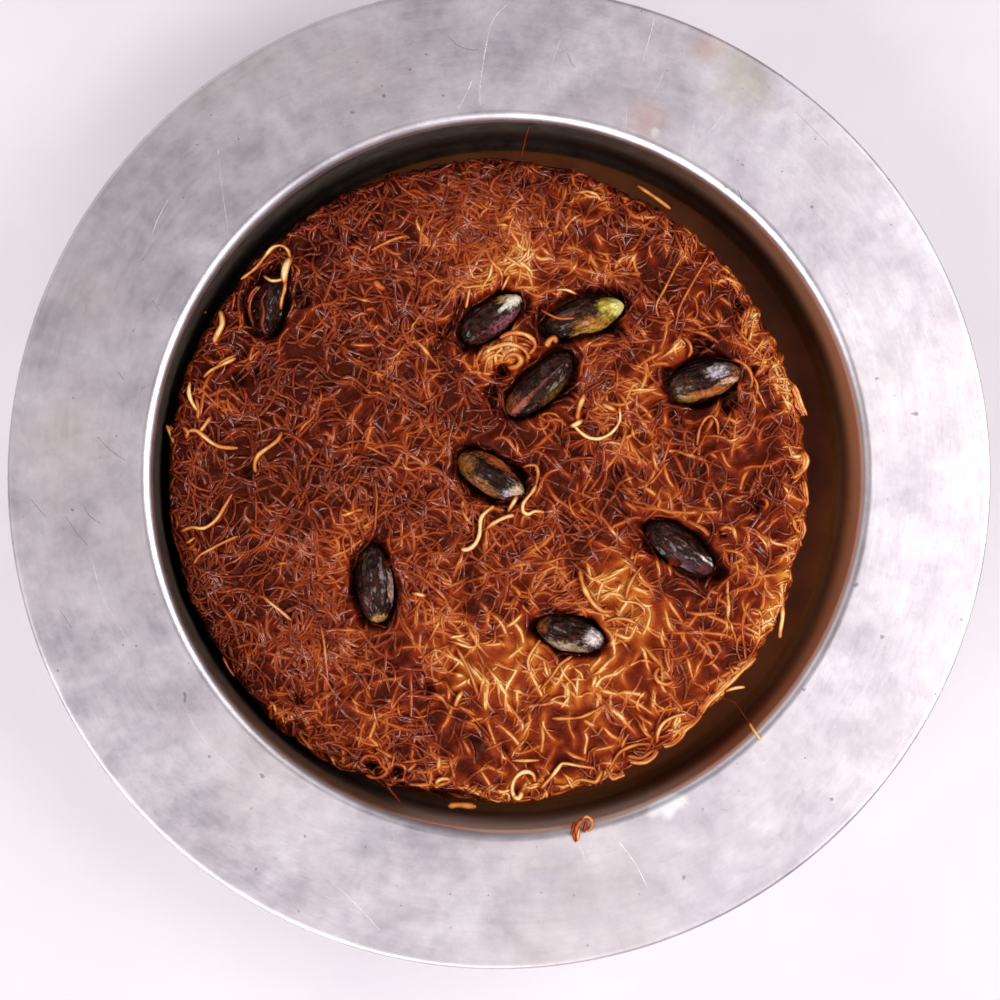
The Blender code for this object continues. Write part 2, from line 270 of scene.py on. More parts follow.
# The dish is turned about the rim's middle, then its well is drawn a little to one side. The film in the
# well changes by bearing: a turn in radians, and the cosines between which it comes in.
dish = {
    "rimRadius": 110.0 * mm, "rimRise": 0.7 * mm, "sheet": 1.5 * mm,
    "lipHeight": 32.0 * mm, "lipRound": 2.4 * mm, "wellCentre": (1.7 * mm, 0.4 * mm),
    "wallTop": 79.3 * mm, "wallFoot": 78.2 * mm, "footRound": 4.2 * mm,
    "steps": 224, "warp": 0.12 * mm, "bead": 0.07 * mm,
    "rimSteps": (0.01, 0.05, 0.16, 0.30, 0.45, 0.60, 0.75, 0.90, 0.98),
    "amber": (0.8, -0.6, 0.7), "dark": (2.35, 0.72, 0.95), "thinner_right": (0.9, -0.5, 0.6), "pale_grey_film": (1.42, 0.86, 0.98),
    "film": 0.95, "filmEnd": (29.8, 31.5), "filmEndRise": (1.0, 0.42),
}


# Stains and bare places of the rim: place and radius in photo pixels, softness, amount and colour
rimSpots = [
    (648, 122, 26, 0.9, 0.55, (232, 180, 164)), (706, 50, 20, 0.9, 0.45, (230, 190, 172)),
    (742, 82, 44, 0.9, 0.55, (210, 204, 184)), (668, 806, 13, 0.35, 0.95, (255, 253, 255)),
    (653, 811, 10, 0.4, 0.90, (255, 253, 255)), (682, 802, 9, 0.4, 0.85, (255, 253, 255)),
    (655, 132, 7, 0.4, 0.70, (255, 246, 246)), (120, 300, 46, 0.9, 0.35, (226, 214, 212)),
    (60, 430, 40, 0.9, 0.35, (228, 212, 208)), (330, 905, 60, 0.9, 0.30, (232, 222, 230)),
]


def metalMaterial():
    material, tree, shader, place = newMaterial("worn_aluminium", Metallic=1.0, Roughness=0.4)
    clouds = addNoise(tree, place, 70.0, 8.0, 0.68, 0.1)
    grey = addRamp(tree, clouds, [
        (0.34, (204, 194, 204)), (0.50, (230, 221, 229)), (0.66, (250, 243, 248))])
    grain = addGroup(tree, grainGroup, {"Place": place, "Fine": 700.0, "Long": 7.0}).outputs["Grain"]
    patches = addNoise(tree, place, 240.0, 5.0, 0.7, 0.2)
    # Laid over one another: what each follows, the range in which it changes, its amounts there and its colour
    for source, low, high, least, most, tint in (
            (addNoise(tree, place, 28.0, 3.0), 0.45, 0.62, 0.0, 0.5, (238, 227, 223)),
            (grain, 0.35, 0.65, 0.0, 0.5, (210, 201, 211)),
            (patches, 0.50, 0.66, 0.0, 0.30, (242, 234, 236)),
            (patches, 0.34, 0.48, 0.30, 0.0, (196, 186, 198)),
            (addNoise(tree, place, 520.0, 1.0), 0.76, 0.80, 0.0, 0.55, (112, 100, 104))):
        grey = addMix(tree, addRange(tree, source, low, high, least, most), grey, tint)
    for across, down, radius, soft, amount, tint in rimSpots:
        spot = addGroup(tree, spotGroup, {
            "Place": place, "Centre": (*photoPlace(across, down, rimPixel), dish["lipHeight"]),
            "Radius": radius * rimPixel * mm, "Soft": soft})
        grey = addMix(tree, addMath(tree, "MULTIPLY", spot.outputs["Mask"], amount), grey, tint)
    # The brown film that fat and syrup leave inside the well. It is painted dark as shade on the left, at the top
    # and most at the lower left; at the lower right it is amber, partly a painted reflection of the cake's lit
    # side; at the bottom it is pale grey
    stain = addAttribute(tree, "stain")
    amber = addAttribute(tree, "amber")
    pale_grey_film = addAttribute(tree, "pale_grey_film")
    film = addMix(tree, amber, (44, 32, 26), (216, 122, 34))
    film = addMix(tree, pale_grey_film, film, (216, 188, 174))
    film = addMix(tree, addRange(tree, patches, 0.35, 0.65, 0.0, 0.22), film, (160, 128, 98))
    grey = addMix(tree, stain, grey, film)
    tree.links.new(grey, shader.inputs["Base Color"])
    rough = addRange(tree, addMath(tree, "ADD", clouds, grain), 0.7, 1.3, 0.40, 0.48)
    polish = addAttribute(tree, "polish")
    rough = addMath(tree, "SUBTRACT", rough, addMath(tree, "MULTIPLY", polish, 0.06))
    tree.links.new(rough, shader.inputs["Roughness"])
    tree.links.new(addRange(tree, stain, 0.4, 1.0, 1.0, 0.25), shader.inputs["Metallic"])
    dents = addNoise(tree, place, 170.0, 5.0, 0.65)
    height = addMath(tree, "ADD", dents, addMath(tree, "MULTIPLY", grain, 0.35))
    setBump(tree, shader, 0.25, 0.25, height)
    return material


def kernelMaterial():
    material, tree, shader, place = newMaterial(
        "pistachio_skin", Roughness=0.40, Specular_IOR_Level=0.14, Specular_Tint=srgb(255, 206, 180),
        Coat_Roughness=0.09, Coat_IOR=1.5)
    tint = addAttribute(tree, "tint", "Color")
    worn = addAttribute(tree, "worn")
    mottle = addNoise(tree, place, 420.0, 4.0, 0.65)
    flecks = addNoise(tree, place, 1300.0, 3.0, 0.7)
    skin = addRamp(tree, mottle, [(0.30, (11, 5, 4)), (0.52, (27, 12, 9)), (0.72, (66, 30, 22))])
    # The skin thins out in flecks before the flesh shows whole; the pale patches painted as highlights come in the
    # same way
    broken = addMath(tree, "ADD", worn, addRange(tree, flecks, 0.3, 0.7, -0.36, 0.36))
    bare = addRange(tree, broken, 0.12, 1.0, 0.0, 1.0)
    shade = addRamp(tree, addMath(tree, "ADD", mottle, addMath(tree, "MULTIPLY", flecks, 0.6)), [
        (0.60, (0.42, 0.36, 0.34, 1.0)), (0.90, (1.0, 1.0, 1.0, 1.0))])
    flesh = addMix(tree, 1.0, tint, shade, "MULTIPLY")
    tree.links.new(addMix(tree, bare, skin, flesh), shader.inputs["Base Color"])
    setGlaze(tree, shader, place, 520.0, 0.46, 0.55)
    puckered = addMath(tree, "ADD", mottle, addMath(tree, "MULTIPLY", flecks, 0.5))
    setBump(tree, shader, 0.9, 0.50, puckered)
    return material


def syrupMaterial():
    material, tree, shader, place = newMaterial(
        "thin_syrup", Roughness=0.25, Specular_IOR_Level=0.2, Coat_Weight=0.3, Coat_Roughness=0.10)
    depth = addNoise(tree, place, 90.0, 3.0)
    colour = addRamp(tree, depth, [(0.35, (112, 55, 20)), (0.65, (138, 72, 28))])
    tree.links.new(colour, shader.inputs["Base Color"])
    return material


# Pieces
def newPiece(name, shape, material):
    mesh = bpy.data.meshes.new(name)
    shape.to_mesh(mesh)
    shape.free()
    return finishPiece(name, mesh, material)


def finishPiece(name, mesh, material):
    mesh.shade_smooth()
    mesh.materials.clear()
    mesh.materials.append(material)
    piece = bpy.data.objects.new(name, mesh)
    scene.collection.objects.link(piece)
    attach(piece, "root")
    return piece


# Turns a profile about the upright axis and closes it there
def turnProfile(shape, line, edges, steps):
    bmesh.ops.spin(
        shape, geom=line + edges, cent=(0, 0, 0), axis=(0, 0, 1), dvec=(0, 0, 0),
        angle=math.tau, steps=steps, use_merge=True, use_duplicate=False)
    bmesh.ops.remove_doubles(shape, verts=shape.verts, dist=0.002 * mm)
    bmesh.ops.recalc_face_normals(shape, faces=shape.faces)


def arcPoints(centre, radius, first, last, steps):
    points = []
    for i in range(steps + 1):
        angle = math.radians(first + (last - first) * i / steps)
        points.append((centre[0] + radius * math.cos(angle), centre[1] + radius * math.sin(angle)))
    return points


def filmToward(name, angle):
    turn, low, high = dish[name]
    return smoothStep(low, high, math.cos(angle + turn))


def makeDish():
    sheet = dish["sheet"]
    lip = (dish["wallTop"] + dish["lipRound"], dish["lipHeight"] - dish["lipRound"])
    foot = (dish["wallFoot"] - dish["footRound"], sheet + dish["footRound"])
    edge = (dish["rimRadius"] - sheet / 2, dish["lipHeight"] + dish["rimRise"] - sheet / 2)
    inner = [(foot[0] * i / 6, sheet) for i in range(6)]
    inner += arcPoints(foot, dish["footRound"], -90, 0, 8)
    wallStart, wallEnd = inner[-1], (lip[0] - dish["lipRound"], lip[1])
    inner += [(wallStart[0] + (wallEnd[0] - wallStart[0]) * i / 6,
               wallStart[1] + (wallEnd[1] - wallStart[1]) * i / 6) for i in range(1, 6)]
    inner += arcPoints(lip, dish["lipRound"], 180, 90, 12)
    rimStart, rimEnd = inner[-1], (edge[0], edge[1] + sheet / 2)
    outer = [(rimStart[0] + (rimEnd[0] - rimStart[0]) * share,
              rimStart[1] + (rimEnd[1] - rimStart[1]) * share) for share in dish["rimSteps"]]
    outer += arcPoints(edge, sheet / 2, 90, -90, 8)
    outer += arcPoints(lip, dish["lipRound"] - sheet, 90, 180, 5)
    outer += arcPoints(foot, dish["footRound"] + sheet, 0, -90, 6)
    outer.append((0.0, 0.0))
    profile = inner + outer

    shape = bmesh.new()
    stain, polish, amber, pale_grey_film, inside = (
        shape.verts.layers.float.new(name) for name in ("stain", "polish", "amber", "pale_grey_film", "inside"))
    line = []
    for i, (x, z) in enumerate(profile):
        line.append(shape.verts.new((x, 0.0, z)))
        if i < len(inner):
            line[-1][inside] = 1.0
            line[-1][polish] = smoothStep(29.5 * mm, 31.2 * mm, z)
    edges = [shape.edges.new(pair) for pair in zip(line, line[1:])]
    turnProfile(shape, line, edges, dish["steps"])
    lipEnd = lip[0]
    for vertex in shape.verts:
        x, y, z = vertex.co
        reach, angle = math.hypot(x, y), math.atan2(y, x)
        share = 1.0 - max(0.0, (reach - lipEnd) / (dish["rimRadius"] - lipEnd))
        # Amber at the lower right, where the cake stands further from the wall: partly syrup, partly a painted
        # reflection of the cake's lit side
        vertex[amber] = filmToward("amber", angle)
        vertex[amber] *= 0.35 + 0.65 * smoothStep(5 * mm, 26 * mm, z)
        # The film is thick to the lip on the left and at the top and thinner on the right. It is painted dark as
        # shade on the left and at the top and darkest at the lower left, and is pale grey at the bottom and near
        # the lip on the right
        dark = filmToward("dark", angle)
        vertex[amber] *= 1 - 0.8 * dark
        thinner_right = filmToward("thinner_right", angle) * (1 - dark)
        vertex[pale_grey_film] = filmToward("pale_grey_film", angle) * smoothStep(5 * mm, 22 * mm, z)
        wall = dish["film"] - 0.12 * thinner_right * (1 - vertex[pale_grey_film]) * smoothStep(6 * mm, 29 * mm, z)
        vertex[pale_grey_film] = max(vertex[pale_grey_film], 0.8 * thinner_right * smoothStep(29.4 * mm, 31.2 * mm, z))
        if vertex[inside] > 0.5:
            low, high = ((end + more * max(thinner_right, dark)) * mm
                         for end, more in zip(dish["filmEnd"], dish["filmEndRise"]))
            vertex[stain] = 1.0 if z < 3 * mm else wall * (1 - smoothStep(low, high, z))
        # Hand-beaten unevenness of the rim and lip
        if z > 20 * mm:
            warp = dish["warp"] * noiseAt(x, y, 0.1, 30)
            bead = dish["bead"] * (1 - smoothStep(0.0, 7 * mm, reach - lipEnd))
            vertex.co.z += (warp + bead) * smoothStep(20 * mm, 31 * mm, z)
        vertex.co.x += dish["wellCentre"][0] * share
        vertex.co.y += dish["wellCentre"][1] * share
    shape.verts.layers.float.remove(inside)
    surface = BVHTree.FromBMesh(shape)
    piece = newPiece("worn_dish", shape, metalMaterial())
    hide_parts("dish")
    return surface


# Scratches and dark marks of the rim: half width in mm, then points in photo pixels
rimMarks = {
    "pale": [
        (0.16, 509, 2, 493, 20, 486, 45, 480, 85, 480, 105), (0.13, 472, 80, 466, 94, 458, 108),
        (0.16, 654, 19, 649, 38, 643, 61), (0.13, 663, 72, 659, 83, 653, 94),
        (0.16, 626, 110, 626, 118, 626, 127), (0.13, 694, 120, 692, 136, 688, 153),
        (0.14, 728, 105, 718, 121, 707, 134), (0.14, 218, 150, 222, 190, 228, 230),
        (0.15, 168, 200, 158, 218, 152, 235), (0.15, 619, 842, 636, 865, 648, 890),
        (0.16, 579, 844, 583, 854, 586, 863), (0.1, 330, 880, 352, 900, 380, 930),
        (0.1, 92, 560, 104, 600, 128, 640), (0.1, 300, 70, 318, 96, 328, 130),
        (0.1, 560, 40, 552, 64, 549, 90), (0.09, 180, 700, 204, 740, 236, 772),
    ],
    "dark": [
        (0.14, 84, 507, 90, 516, 100, 523), (0.14, 98, 437, 110, 450, 125, 460),
        (0.12, 31, 499, 38, 508, 46, 517), (0.11, 66, 516, 76, 532, 88, 545),
        (0.12, 448, 36, 457, 45, 468, 49, 479, 50), (0.13, 567, 53, 572, 64, 575, 67),
        (0.1, 795, 112, 812, 128, 828, 145), (0.22, 641, 11, 641, 13), (0.22, 781, 75, 782, 77),
        (0.2, 887, 179, 889, 180), (0.22, 935, 693, 936, 695), (0.2, 915, 737, 917, 738),
        (0.2, 196, 144, 198, 145), (0.18, 238, 138, 239, 140), (0.2, 210, 115, 212, 115),
        (0.24, 738, 190, 741, 197, 743, 203), (0.1, 152, 300, 160, 312), (0.1, 60, 610, 72, 628),
        (0.13, 118, 372, 124, 380), (0.18, 400, 905, 402, 906), (0.16, 540, 892, 542, 893),
    ],
}


def markMaterial(name, low, high, roughness):
    material, tree, shader, place = newMaterial(name, Metallic=1.0, Roughness=roughness)
    colour = addRamp(tree, addNoise(tree, place, 700.0, 3.0), [(0.35, srgb(*low)), (0.65, srgb(*high))])
    tree.links.new(colour, shader.inputs["Base Color"])
    return material


# Burrs lie along the scratches, sunk so that only their tops show
def makeRimMarks(surface):
    finishes = {
        "pale": markMaterial("bright_scratch", (206, 198, 204), (236, 230, 234), 0.45),
        "dark": markMaterial("dark_scratch", (72, 62, 66), (112, 100, 104), 0.6)}
    for name, marks in rimMarks.items():
        lines = []
        for half, *numbers in marks:
            line = []
            for i, point in enumerate(smoothLine(pointsOf(numbers), 8)):
                above = Vector((*photoPlace(*point, rimPixel), 60 * mm))
                place = surface.ray_cast(above, Vector((0, 0, -1)))[0]
                if place:
                    thick = half * (0.48 + 0.40 * noise.noise(Vector((i * 0.6, half * 90, 0.0)))) * mm
                    line.append((tuple(place - Vector((0, 0, 0.72 * thick))), thick, 0.5))
            if len(line) > 1:
                lines.append(line)
        makeStrands(name + "_rim_marks", lines, finishes[name], sides=8)


# The cake. Its crust has the form of the CAD solid; x and y are from the cake's own middle.
cake = {
    "centre": (-2.5 * mm, -0.9 * mm), "radius": 72.3 * mm, "base": 1.8 * mm, "top": 24.7 * mm,
    "edge": 1.8 * mm, "crags": 0.8 * mm, "swell": 0.6 * mm, "sag": 1.1 * mm, "sagReach": 4.5 * mm,
    "outline": 0.7 * mm, "grid": 276, "sideRings": 20, "coreDrop": 0.30 * mm,
    "ridge": 0.46 * mm, "ridgeReach": 0.70 * mm, "pane": 0.46 * mm, "paneReach": 1.5 * mm,
    "slump": 2.4 * mm, "slumpAt": -98,
}

# Kernels: place, length, width, heading and tilt as in the CAD, how wrinkled each is and how much deeper it has
# sunk than the rest. A ridge has its place to the left, width and height. A patch, where the skin is worn or torn,
# has its place along and to the left of the kernel, its reach both ways, strength and colour; the near-white
# patches on kernels 5, 6, 8 and 9 are painted highlights.
kernelColumns = ("at", "long", "wide", "heading", "tilt", "wrinkle", "deep", "ridges", "patches")
kernels = [dict(zip(kernelColumns, row)) for row in (
    ((-52.2, 39.3), 15.8, 9, 72, 2, 0.3, 0.7, [], [
        (0, 0.65, 1, 0.6, 0.9, (54, 22, 13)), (-0.2, 0.95, 0.9, 0.3, 1, (88, 34, 18))]),
    ((-2, 36.1), 17, 9, 35, 8, 0.26, 0, [(-0.45, 0.12, 0.5)], [
        (0.25, -0.62, 0.65, 0.3, 0.7, (158, 90, 104)), (-0.5, -0.75, 0.5, 0.4, 0.5, (92, 40, 36)),
        (0.66, 0.62, 0.24, 0.28, 1, (206, 164, 70)), (0.82, 0.12, 0.28, 0.4, 1.3, (246, 240, 216)),
        (0.52, 0.02, 0.2, 0.16, 1, (236, 228, 214))]),
    ((19, 36.6), 19.4, 9.4, 16, 9, 0.18, 0.3, [(-0.15, 0.07, 0.8), (0.18, 0.06, 0.5)], [
        (-0.45, 0.35, 0.7, 0.8, 0.8, (50, 24, 14)), (-0.35, 0.3, 0.4, 0.1, 0.9, (150, 84, 74)),
        (0.3, -0.55, 0.5, 0.45, 0.9, (176, 112, 48)), (0, -0.95, 0.4, 0.3, 1, (214, 156, 72)),
        (0.8, 0.15, 0.36, 0.85, 1.3, (182, 164, 62)), (0.95, -0.1, 0.2, 0.7, 1.2, (232, 222, 134))]),
    ((9.3, 21.2), 19.9, 9.5, 43, 0, 0.16, 0, [(-0.03, 0.1, 1.3), (-0.62, 0.1, 0.5)], [
        (-0.85, 0.4, 0.3, 0.6, 0.8, (122, 66, 28)), (0.15, -0.8, 0.5, 0.3, 0.6, (110, 86, 34)),
        (0.1, -0.02, 0.9, 0.09, 0.8, (138, 70, 56)), (-0.62, -0.1, 0.4, 0.2, 1, (160, 86, 68)),
        (0.55, 0.2, 0.4, 0.5, 0.5, (40, 16, 14))]),
    # Kernel 5: its silvery patch is a painted highlight
    ((46.3, 22.1), 17.8, 9.5, 15, 7, 0.28, 0, [], [
        (-0.55, -0.1, 0.4, 0.5, 0.8, (66, 42, 16)), (-0.45, -0.75, 0.5, 0.28, 1, (160, 116, 46)),
        (0.2, -0.75, 0.5, 0.28, 1, (192, 110, 62)), (0.7, -0.4, 0.3, 0.22, 0.9, (228, 174, 142)),
        (0.44, 0.28, 0.32, 0.42, 0.85, (212, 200, 212)), (0.92, 0.2, 0.2, 0.6, 0.8, (150, 92, 64))]),
    # Kernel 6: its last, near-white patch is a painted highlight
    ((-1.8, 0.5), 17.5, 9.1, -32, 6, 0.28, 0, [], [
        (0, 0.88, 0.9, 0.32, 1, (182, 90, 46)), (-0.75, -0.2, 0.35, 0.8, 0.9, (146, 90, 38)),
        (0.1, -0.88, 0.8, 0.26, 0.9, (152, 94, 50)), (-0.1, -0.55, 0.4, 0.2, 0.7, (170, 108, 58)),
        (0.86, -0.1, 0.26, 0.65, 1.1, (228, 192, 158)), (0.62, -0.35, 0.14, 0.35, 0.6, (226, 212, 220))]),
    ((-28.3, -24), 17.9, 9.4, 94, 2, 0.34, 0, [(-0.45, 0.08, 0.5), (0.15, 0.07, 0.4), (0.5, 0.08, 0.4)], [
        (-0.1, -0.92, 0.85, 0.2, 1, (208, 168, 154)), (-0.94, -0.1, 0.18, 0.55, 1, (200, 152, 90)),
        (-0.55, 0.5, 0.4, 0.4, 0.5, (72, 38, 36)), (0.3, -0.45, 0.5, 0.1, 0.5, (170, 140, 150))]),
    # Kernel 8: its near-white patch at the right end is a painted highlight
    ((16.2, -35.4), 15.8, 8.8, -14, 5, 0.34, 0, [], [
        (-0.88, 0.2, 0.25, 0.7, 0.9, (132, 72, 34)), (-0.1, -0.85, 0.9, 0.34, 0.95, (176, 148, 120)),
        (0.68, 0.12, 0.3, 0.62, 0.95, (222, 208, 204))]),
    # Kernel 9: its two thin near-white patches at the tip are painted highlights
    ((41.1, -16), 18.3, 8.9, -36, -6, 0.3, 0, [(0.35, 0.1, 0.5)], [
        (0.3, -0.45, 0.6, 0.36, 0.55, (92, 64, 84)), (0.45, -0.88, 0.55, 0.24, 0.9, (164, 118, 124)),
        (0.82, -0.25, 0.22, 0.5, 0.8, (104, 48, 54)), (0.7, 0.35, 0.3, 0.09, 1.1, (238, 220, 212)),
        (0.84, 0.6, 0.2, 0.08, 1, (230, 206, 196))]),
)]
kernelForm = {
    "flat": 0.86, "sink": 3.1 * mm, "taper": 0.20, "around": 92, "along": 64, "pucker": 0.10,
    "nearby": 16 * mm, "skin": (138, 84, 72), "underside": -0.7}

# Hollows in the crust, or lumps where the depth is negative: place and radius in photo pixels, depth in mm
hollows = [
    (258, 300, 6, -3.7), (257, 311, 6, -3.7), (260, 322, 6, -3.2), (677, 351, 11, -1.1), (508, 358, 9, -0.7),
    (488, 355, 9, -0.6), (551, 342, 6, -0.7), (661, 360, 12, -0.5), (463, 308, 9, 3.2), (672, 372, 8, 2.6),
    (728, 404, 8, 2.6), (496, 498, 8, 2.8), (482, 486, 7, 2.4), (500, 372, 8, 3.0), (493, 392, 9, 3.2),
    (498, 404, 8, 3.0), (568, 316, 6, 2.0), (618, 332, 6, 2.0), (553, 622, 8, 2.6), (562, 644, 5, 2.4),
    (356, 575, 5, 2.4), (281, 285, 6, 2.6), (286, 300, 6, 2.6), (466, 316, 13, 3.0), (457, 324, 8, 2.4),
    (553, 306, 10, 2.0), (506, 398, 9, 2.6), (702, 343, 9, 2.8), (676, 396, 9, 2.2), (738, 398, 7, 1.6),
    (468, 456, 8, 2.4), (472, 492, 9, 2.4), (361, 562, 6, 1.8), (393, 608, 7, 1.8), (548, 613, 9, 2.6),
    (656, 530, 8, 2.2), (702, 576, 6, 1.6), (739, 304, 6, 1.8), (755, 503, 7, 2.0), (297, 699, 6, 1.8),
    (452, 672, 5, 1.2), (428, 690, 6, 1.2), (476, 735, 7, 1.2), (505, 748, 6, 1.2), (345, 330, 7, 1.0),
    (250, 470, 8, 1.2), (700, 470, 7, 1.0), (620, 470, 6, 0.9), (255, 560, 8, 1.1), (330, 640, 7, 1.0),
    (420, 250, 7, 0.9), (640, 250, 6, 0.9), (371, 767, 6, 2.2), (396, 775, 7, 2.2), (335, 232, 7, 1.6),
    (312, 250, 9, 1.4), (352, 236, 6, 1.2), (240, 352, 9, 1.6), (258, 372, 8, 1.4), (236, 380, 9, 1.4),
    (296, 290, 7, 1.6), (380, 222, 8, 1.2),
]

# How much paler or darker the crust is drawn at places: place and radius in photo pixels, and the amount. Most are
# browning; the paler places along the right edge are painted light, and the darker places at three of the hollows
# are painted shade
bakeAndPaintedLightPlaces = [
    (626, 590, 34, 0.38), (600, 572, 16, 0.14), (636, 626, 22, 0.26), (537, 665, 25, 0.32),
    (560, 674, 18, 0.2), (520, 262, 42, 0.28), (600, 262, 44, 0.12), (751, 338, 24, 0.26),
    (682, 352, 13, 0.28), (482, 292, 26, 0.16), (508, 350, 22, 0.42), (548, 342, 8, 0.36), (677, 350, 11, 0.2),
    # The last two here, on the right edge, are painted light
    (258, 308, 12, 0.3), (596, 650, 20, 0.16), (645, 392, 24, 0.2), (790, 395, 20, 0.26), (786, 505, 18, 0.18),
    (665, 490, 20, 0.14), (650, 705, 50, 0.06), (560, 765, 60, 0.08), (378, 432, 26, 0.1), (600, 415, 26, 0.1),
    (470, 655, 24, 0.12), (690, 285, 60, 0.04), (440, 640, 30, 0.06), (700, 512, 14, 0.14),
    (300, 340, 60, -0.08), (212, 480, 52, -0.12), (395, 590, 40, -0.08), (505, 585, 34, -0.08),
    (465, 520, 26, -0.1), (260, 410, 50, -0.06), (345, 225, 50, -0.1), (545, 345, 22, -0.12),
    # The first three here, in hollows, are painted shade
    (755, 503, 12, -0.3), (739, 304, 14, -0.25), (297, 699, 14, -0.25), (240, 600, 46, -0.08),
    (470, 440, 26, -0.08), (600, 380, 30, -0.08), (700, 458, 26, -0.12), (755, 482, 24, -0.12),
    (712, 522, 13, -0.2), (430, 690, 18, -0.16), (418, 724, 20, -0.12), (461, 716, 8, -0.18),
    (480, 744, 14, -0.12), (577, 545, 18, -0.14), (702, 582, 20, -0.18), (610, 497, 14, -0.12),
    (722, 308, 22, -0.1), (600, 218, 26, -0.08), (686, 735, 12, -0.1), (640, 722, 14, -0.08),
    (390, 180, 40, -0.2), (490, 180, 36, -0.12), (200, 490, 44, -0.18), (290, 480, 44, -0.22),
    (390, 490, 34, -0.12), (490, 480, 30, -0.15), (200, 590, 40, -0.19), (490, 680, 44, 0.3),
    (590, 690, 44, 0.15), (690, 690, 44, 0.09), (540, 590, 30, 0.1), (605, 185, 36, 0.19),
    (700, 285, 40, 0.17), (290, 580, 40, -0.07), (390, 600, 34, -0.08), (590, 290, 36, 0.06),
    # These four, along the right edge, are painted light
    (785, 360, 22, 0.16), (798, 440, 18, 0.14), (796, 520, 18, 0.14), (786, 585, 20, 0.1),
    (235, 635, 40, -0.12), (310, 640, 40, -0.08), (330, 430, 40, -0.05), (450, 600, 40, 0.06),
    (690, 680, 50, 0.04), (250, 250, 40, -0.03), (560, 480, 40, -0.04), (720, 520, 40, 0.04),
]


def cakePlace(across, down):
    x, y = photoPlace(across, down)
    return x - cake["centre"][0], y - cake["centre"][1]


def inDish(x, y, z):
    return x + cake["centre"][0], y + cake["centre"][1], z


def spotsOf(table, unit):
    return [(*cakePlace(a, d), radius * crustPixel * mm, amount * unit) for a, d, radius, amount in table]


hollowSpots, bakeAndPaintedLightSpots = spotsOf(hollows, mm), spotsOf(bakeAndPaintedLightPlaces, 1)


# The amounts of the spots near a place, with the square of how many of its own radii each is away
def spotsNear(spots, x, y, limit):
    for spotX, spotY, radius, amount in spots:
        square = ((x - spotX) ** 2 + (y - spotY) ** 2) / radius ** 2
        if square < limit:
            yield amount, square


def outlineRadius(angle):
    around = Vector((math.cos(angle), math.sin(angle), 0.0))
    ragged = noise.noise(around * 1.3) + 0.7 * noise.noise(around * 7.0) + 0.7 * noise.noise(around * 19.0)
    return cake["radius"] + cake["outline"] * ragged


# How far a point is from the nearest kernel: 1 on its outline
def kernelNearness(x, y):
    nearest = math.inf
    for look in kernels:
        dx = x + cake["centre"][0] - look["at"][0] * mm
        dy = y + cake["centre"][1] - look["at"][1] * mm
        if max(abs(dx), abs(dy)) < kernelForm["nearby"]:
            angle = math.radians(look["heading"])
            along = (dx * math.cos(angle) + dy * math.sin(angle)) / (look["long"] / 2 * mm)
            side = (dy * math.cos(angle) - dx * math.sin(angle)) / (look["wide"] / 2 * mm)
            nearest = min(nearest, math.hypot(along, side))
    return nearest


def crustLevel(x, y):
    level = cake["top"] + cake["swell"] * noiseAt(x, y, 0.0, 38)
    level += cake["crags"] * noiseAt(x, y, 0.02, 210)
    fromEdge = max(0.0, outlineRadius(math.atan2(y, x)) - math.hypot(x, y))
    level -= cake["sag"] * math.exp(-fromEdge / cake["sagReach"])
    return level


# The crust sinks in round a kernel, and has open hollows of its own
def pocketDepth(x, y):
    near = kernelNearness(x, y)
    if near > 2.0:
        return 0.0
    uneven = noiseAt(x, y, 0.5, 130)
    deep = min(4.2, max(1.6, 3.2 + 3.4 * uneven)) * mm
    return deep * (1 - smoothStep(1.0, 1.28 + 0.55 * uneven, near))


def hollowDepth(x, y):
    deep, raised = 0.0, 0.0
    for amount, square in spotsNear(hollowSpots, x, y, 5):
        here = amount * math.exp(-square * square)
        deep, raised = max(deep, here), max(raised, -here)
    return deep, raised


# x and y run out over the crust and on down the side, as if the cake's skin were laid flat
def skinPoint(x, y, lift):
    reach = math.hypot(x, y)
    angle = math.atan2(y, x)
    # At the bottom left the edge has slumped and shows a little of the side
    slump = cake["slump"] * math.exp(-((angle - math.radians(cake["slumpAt"])) / 0.14) ** 2)
    flat = outlineRadius(angle) - cake["edge"] - slump
    if reach <= flat:
        deep, raised = hollowDepth(x, y)
        return x, y, crustLevel(x, y) - max(deep, pocketDepth(x, y)) + raised + lift
    out = (x / reach, y / reach)
    turn = min((reach - flat) / cake["edge"], math.pi / 2)
    down = max(0.0, reach - flat - cake["edge"] * math.pi / 2)
    around = Vector((out[0] * 9, out[1] * 9, (cake["top"] - down) * 280))
    crag = cake["crags"] * 0.7 * noise.noise(around) * math.sin(turn) + 0.0004 * min(1.0, down / (18 * mm))
    crag += slump * smoothStep(0.0, 12 * mm, down)
    radius = flat + (cake["edge"] + lift) * math.sin(turn) + crag
    top = crustLevel(out[0] * flat, out[1] * flat)
    height = top - cake["edge"] * (1 - math.cos(turn)) + lift * math.cos(turn) - down
    return out[0] * radius, out[1] * radius, height


# How pale the crust is drawn: 0 is nearly black and 1 is pale gold. Beside its browning it holds painted light on
# the edge that faces the window lamp, and painted shade in hollows, round kernels and gaps between crowded strands
crustTones = {
    "middle": 0.300, "broad": 0.14, "fine": 0.10, "slant": 0.05, "edgeReach": 5.5 * mm, "edgePale": 0.52,
    "edgeDark": 0.04, "perHollow": 0.18, "perPocket": 0.15, "gaps": 0.24, "ridge": 0.23, "pane": 0.19,
    "crowd": 0.06, "knots": 0.10, "darkest": 0.15, "strandLimits": (0.23, 0.86),
}


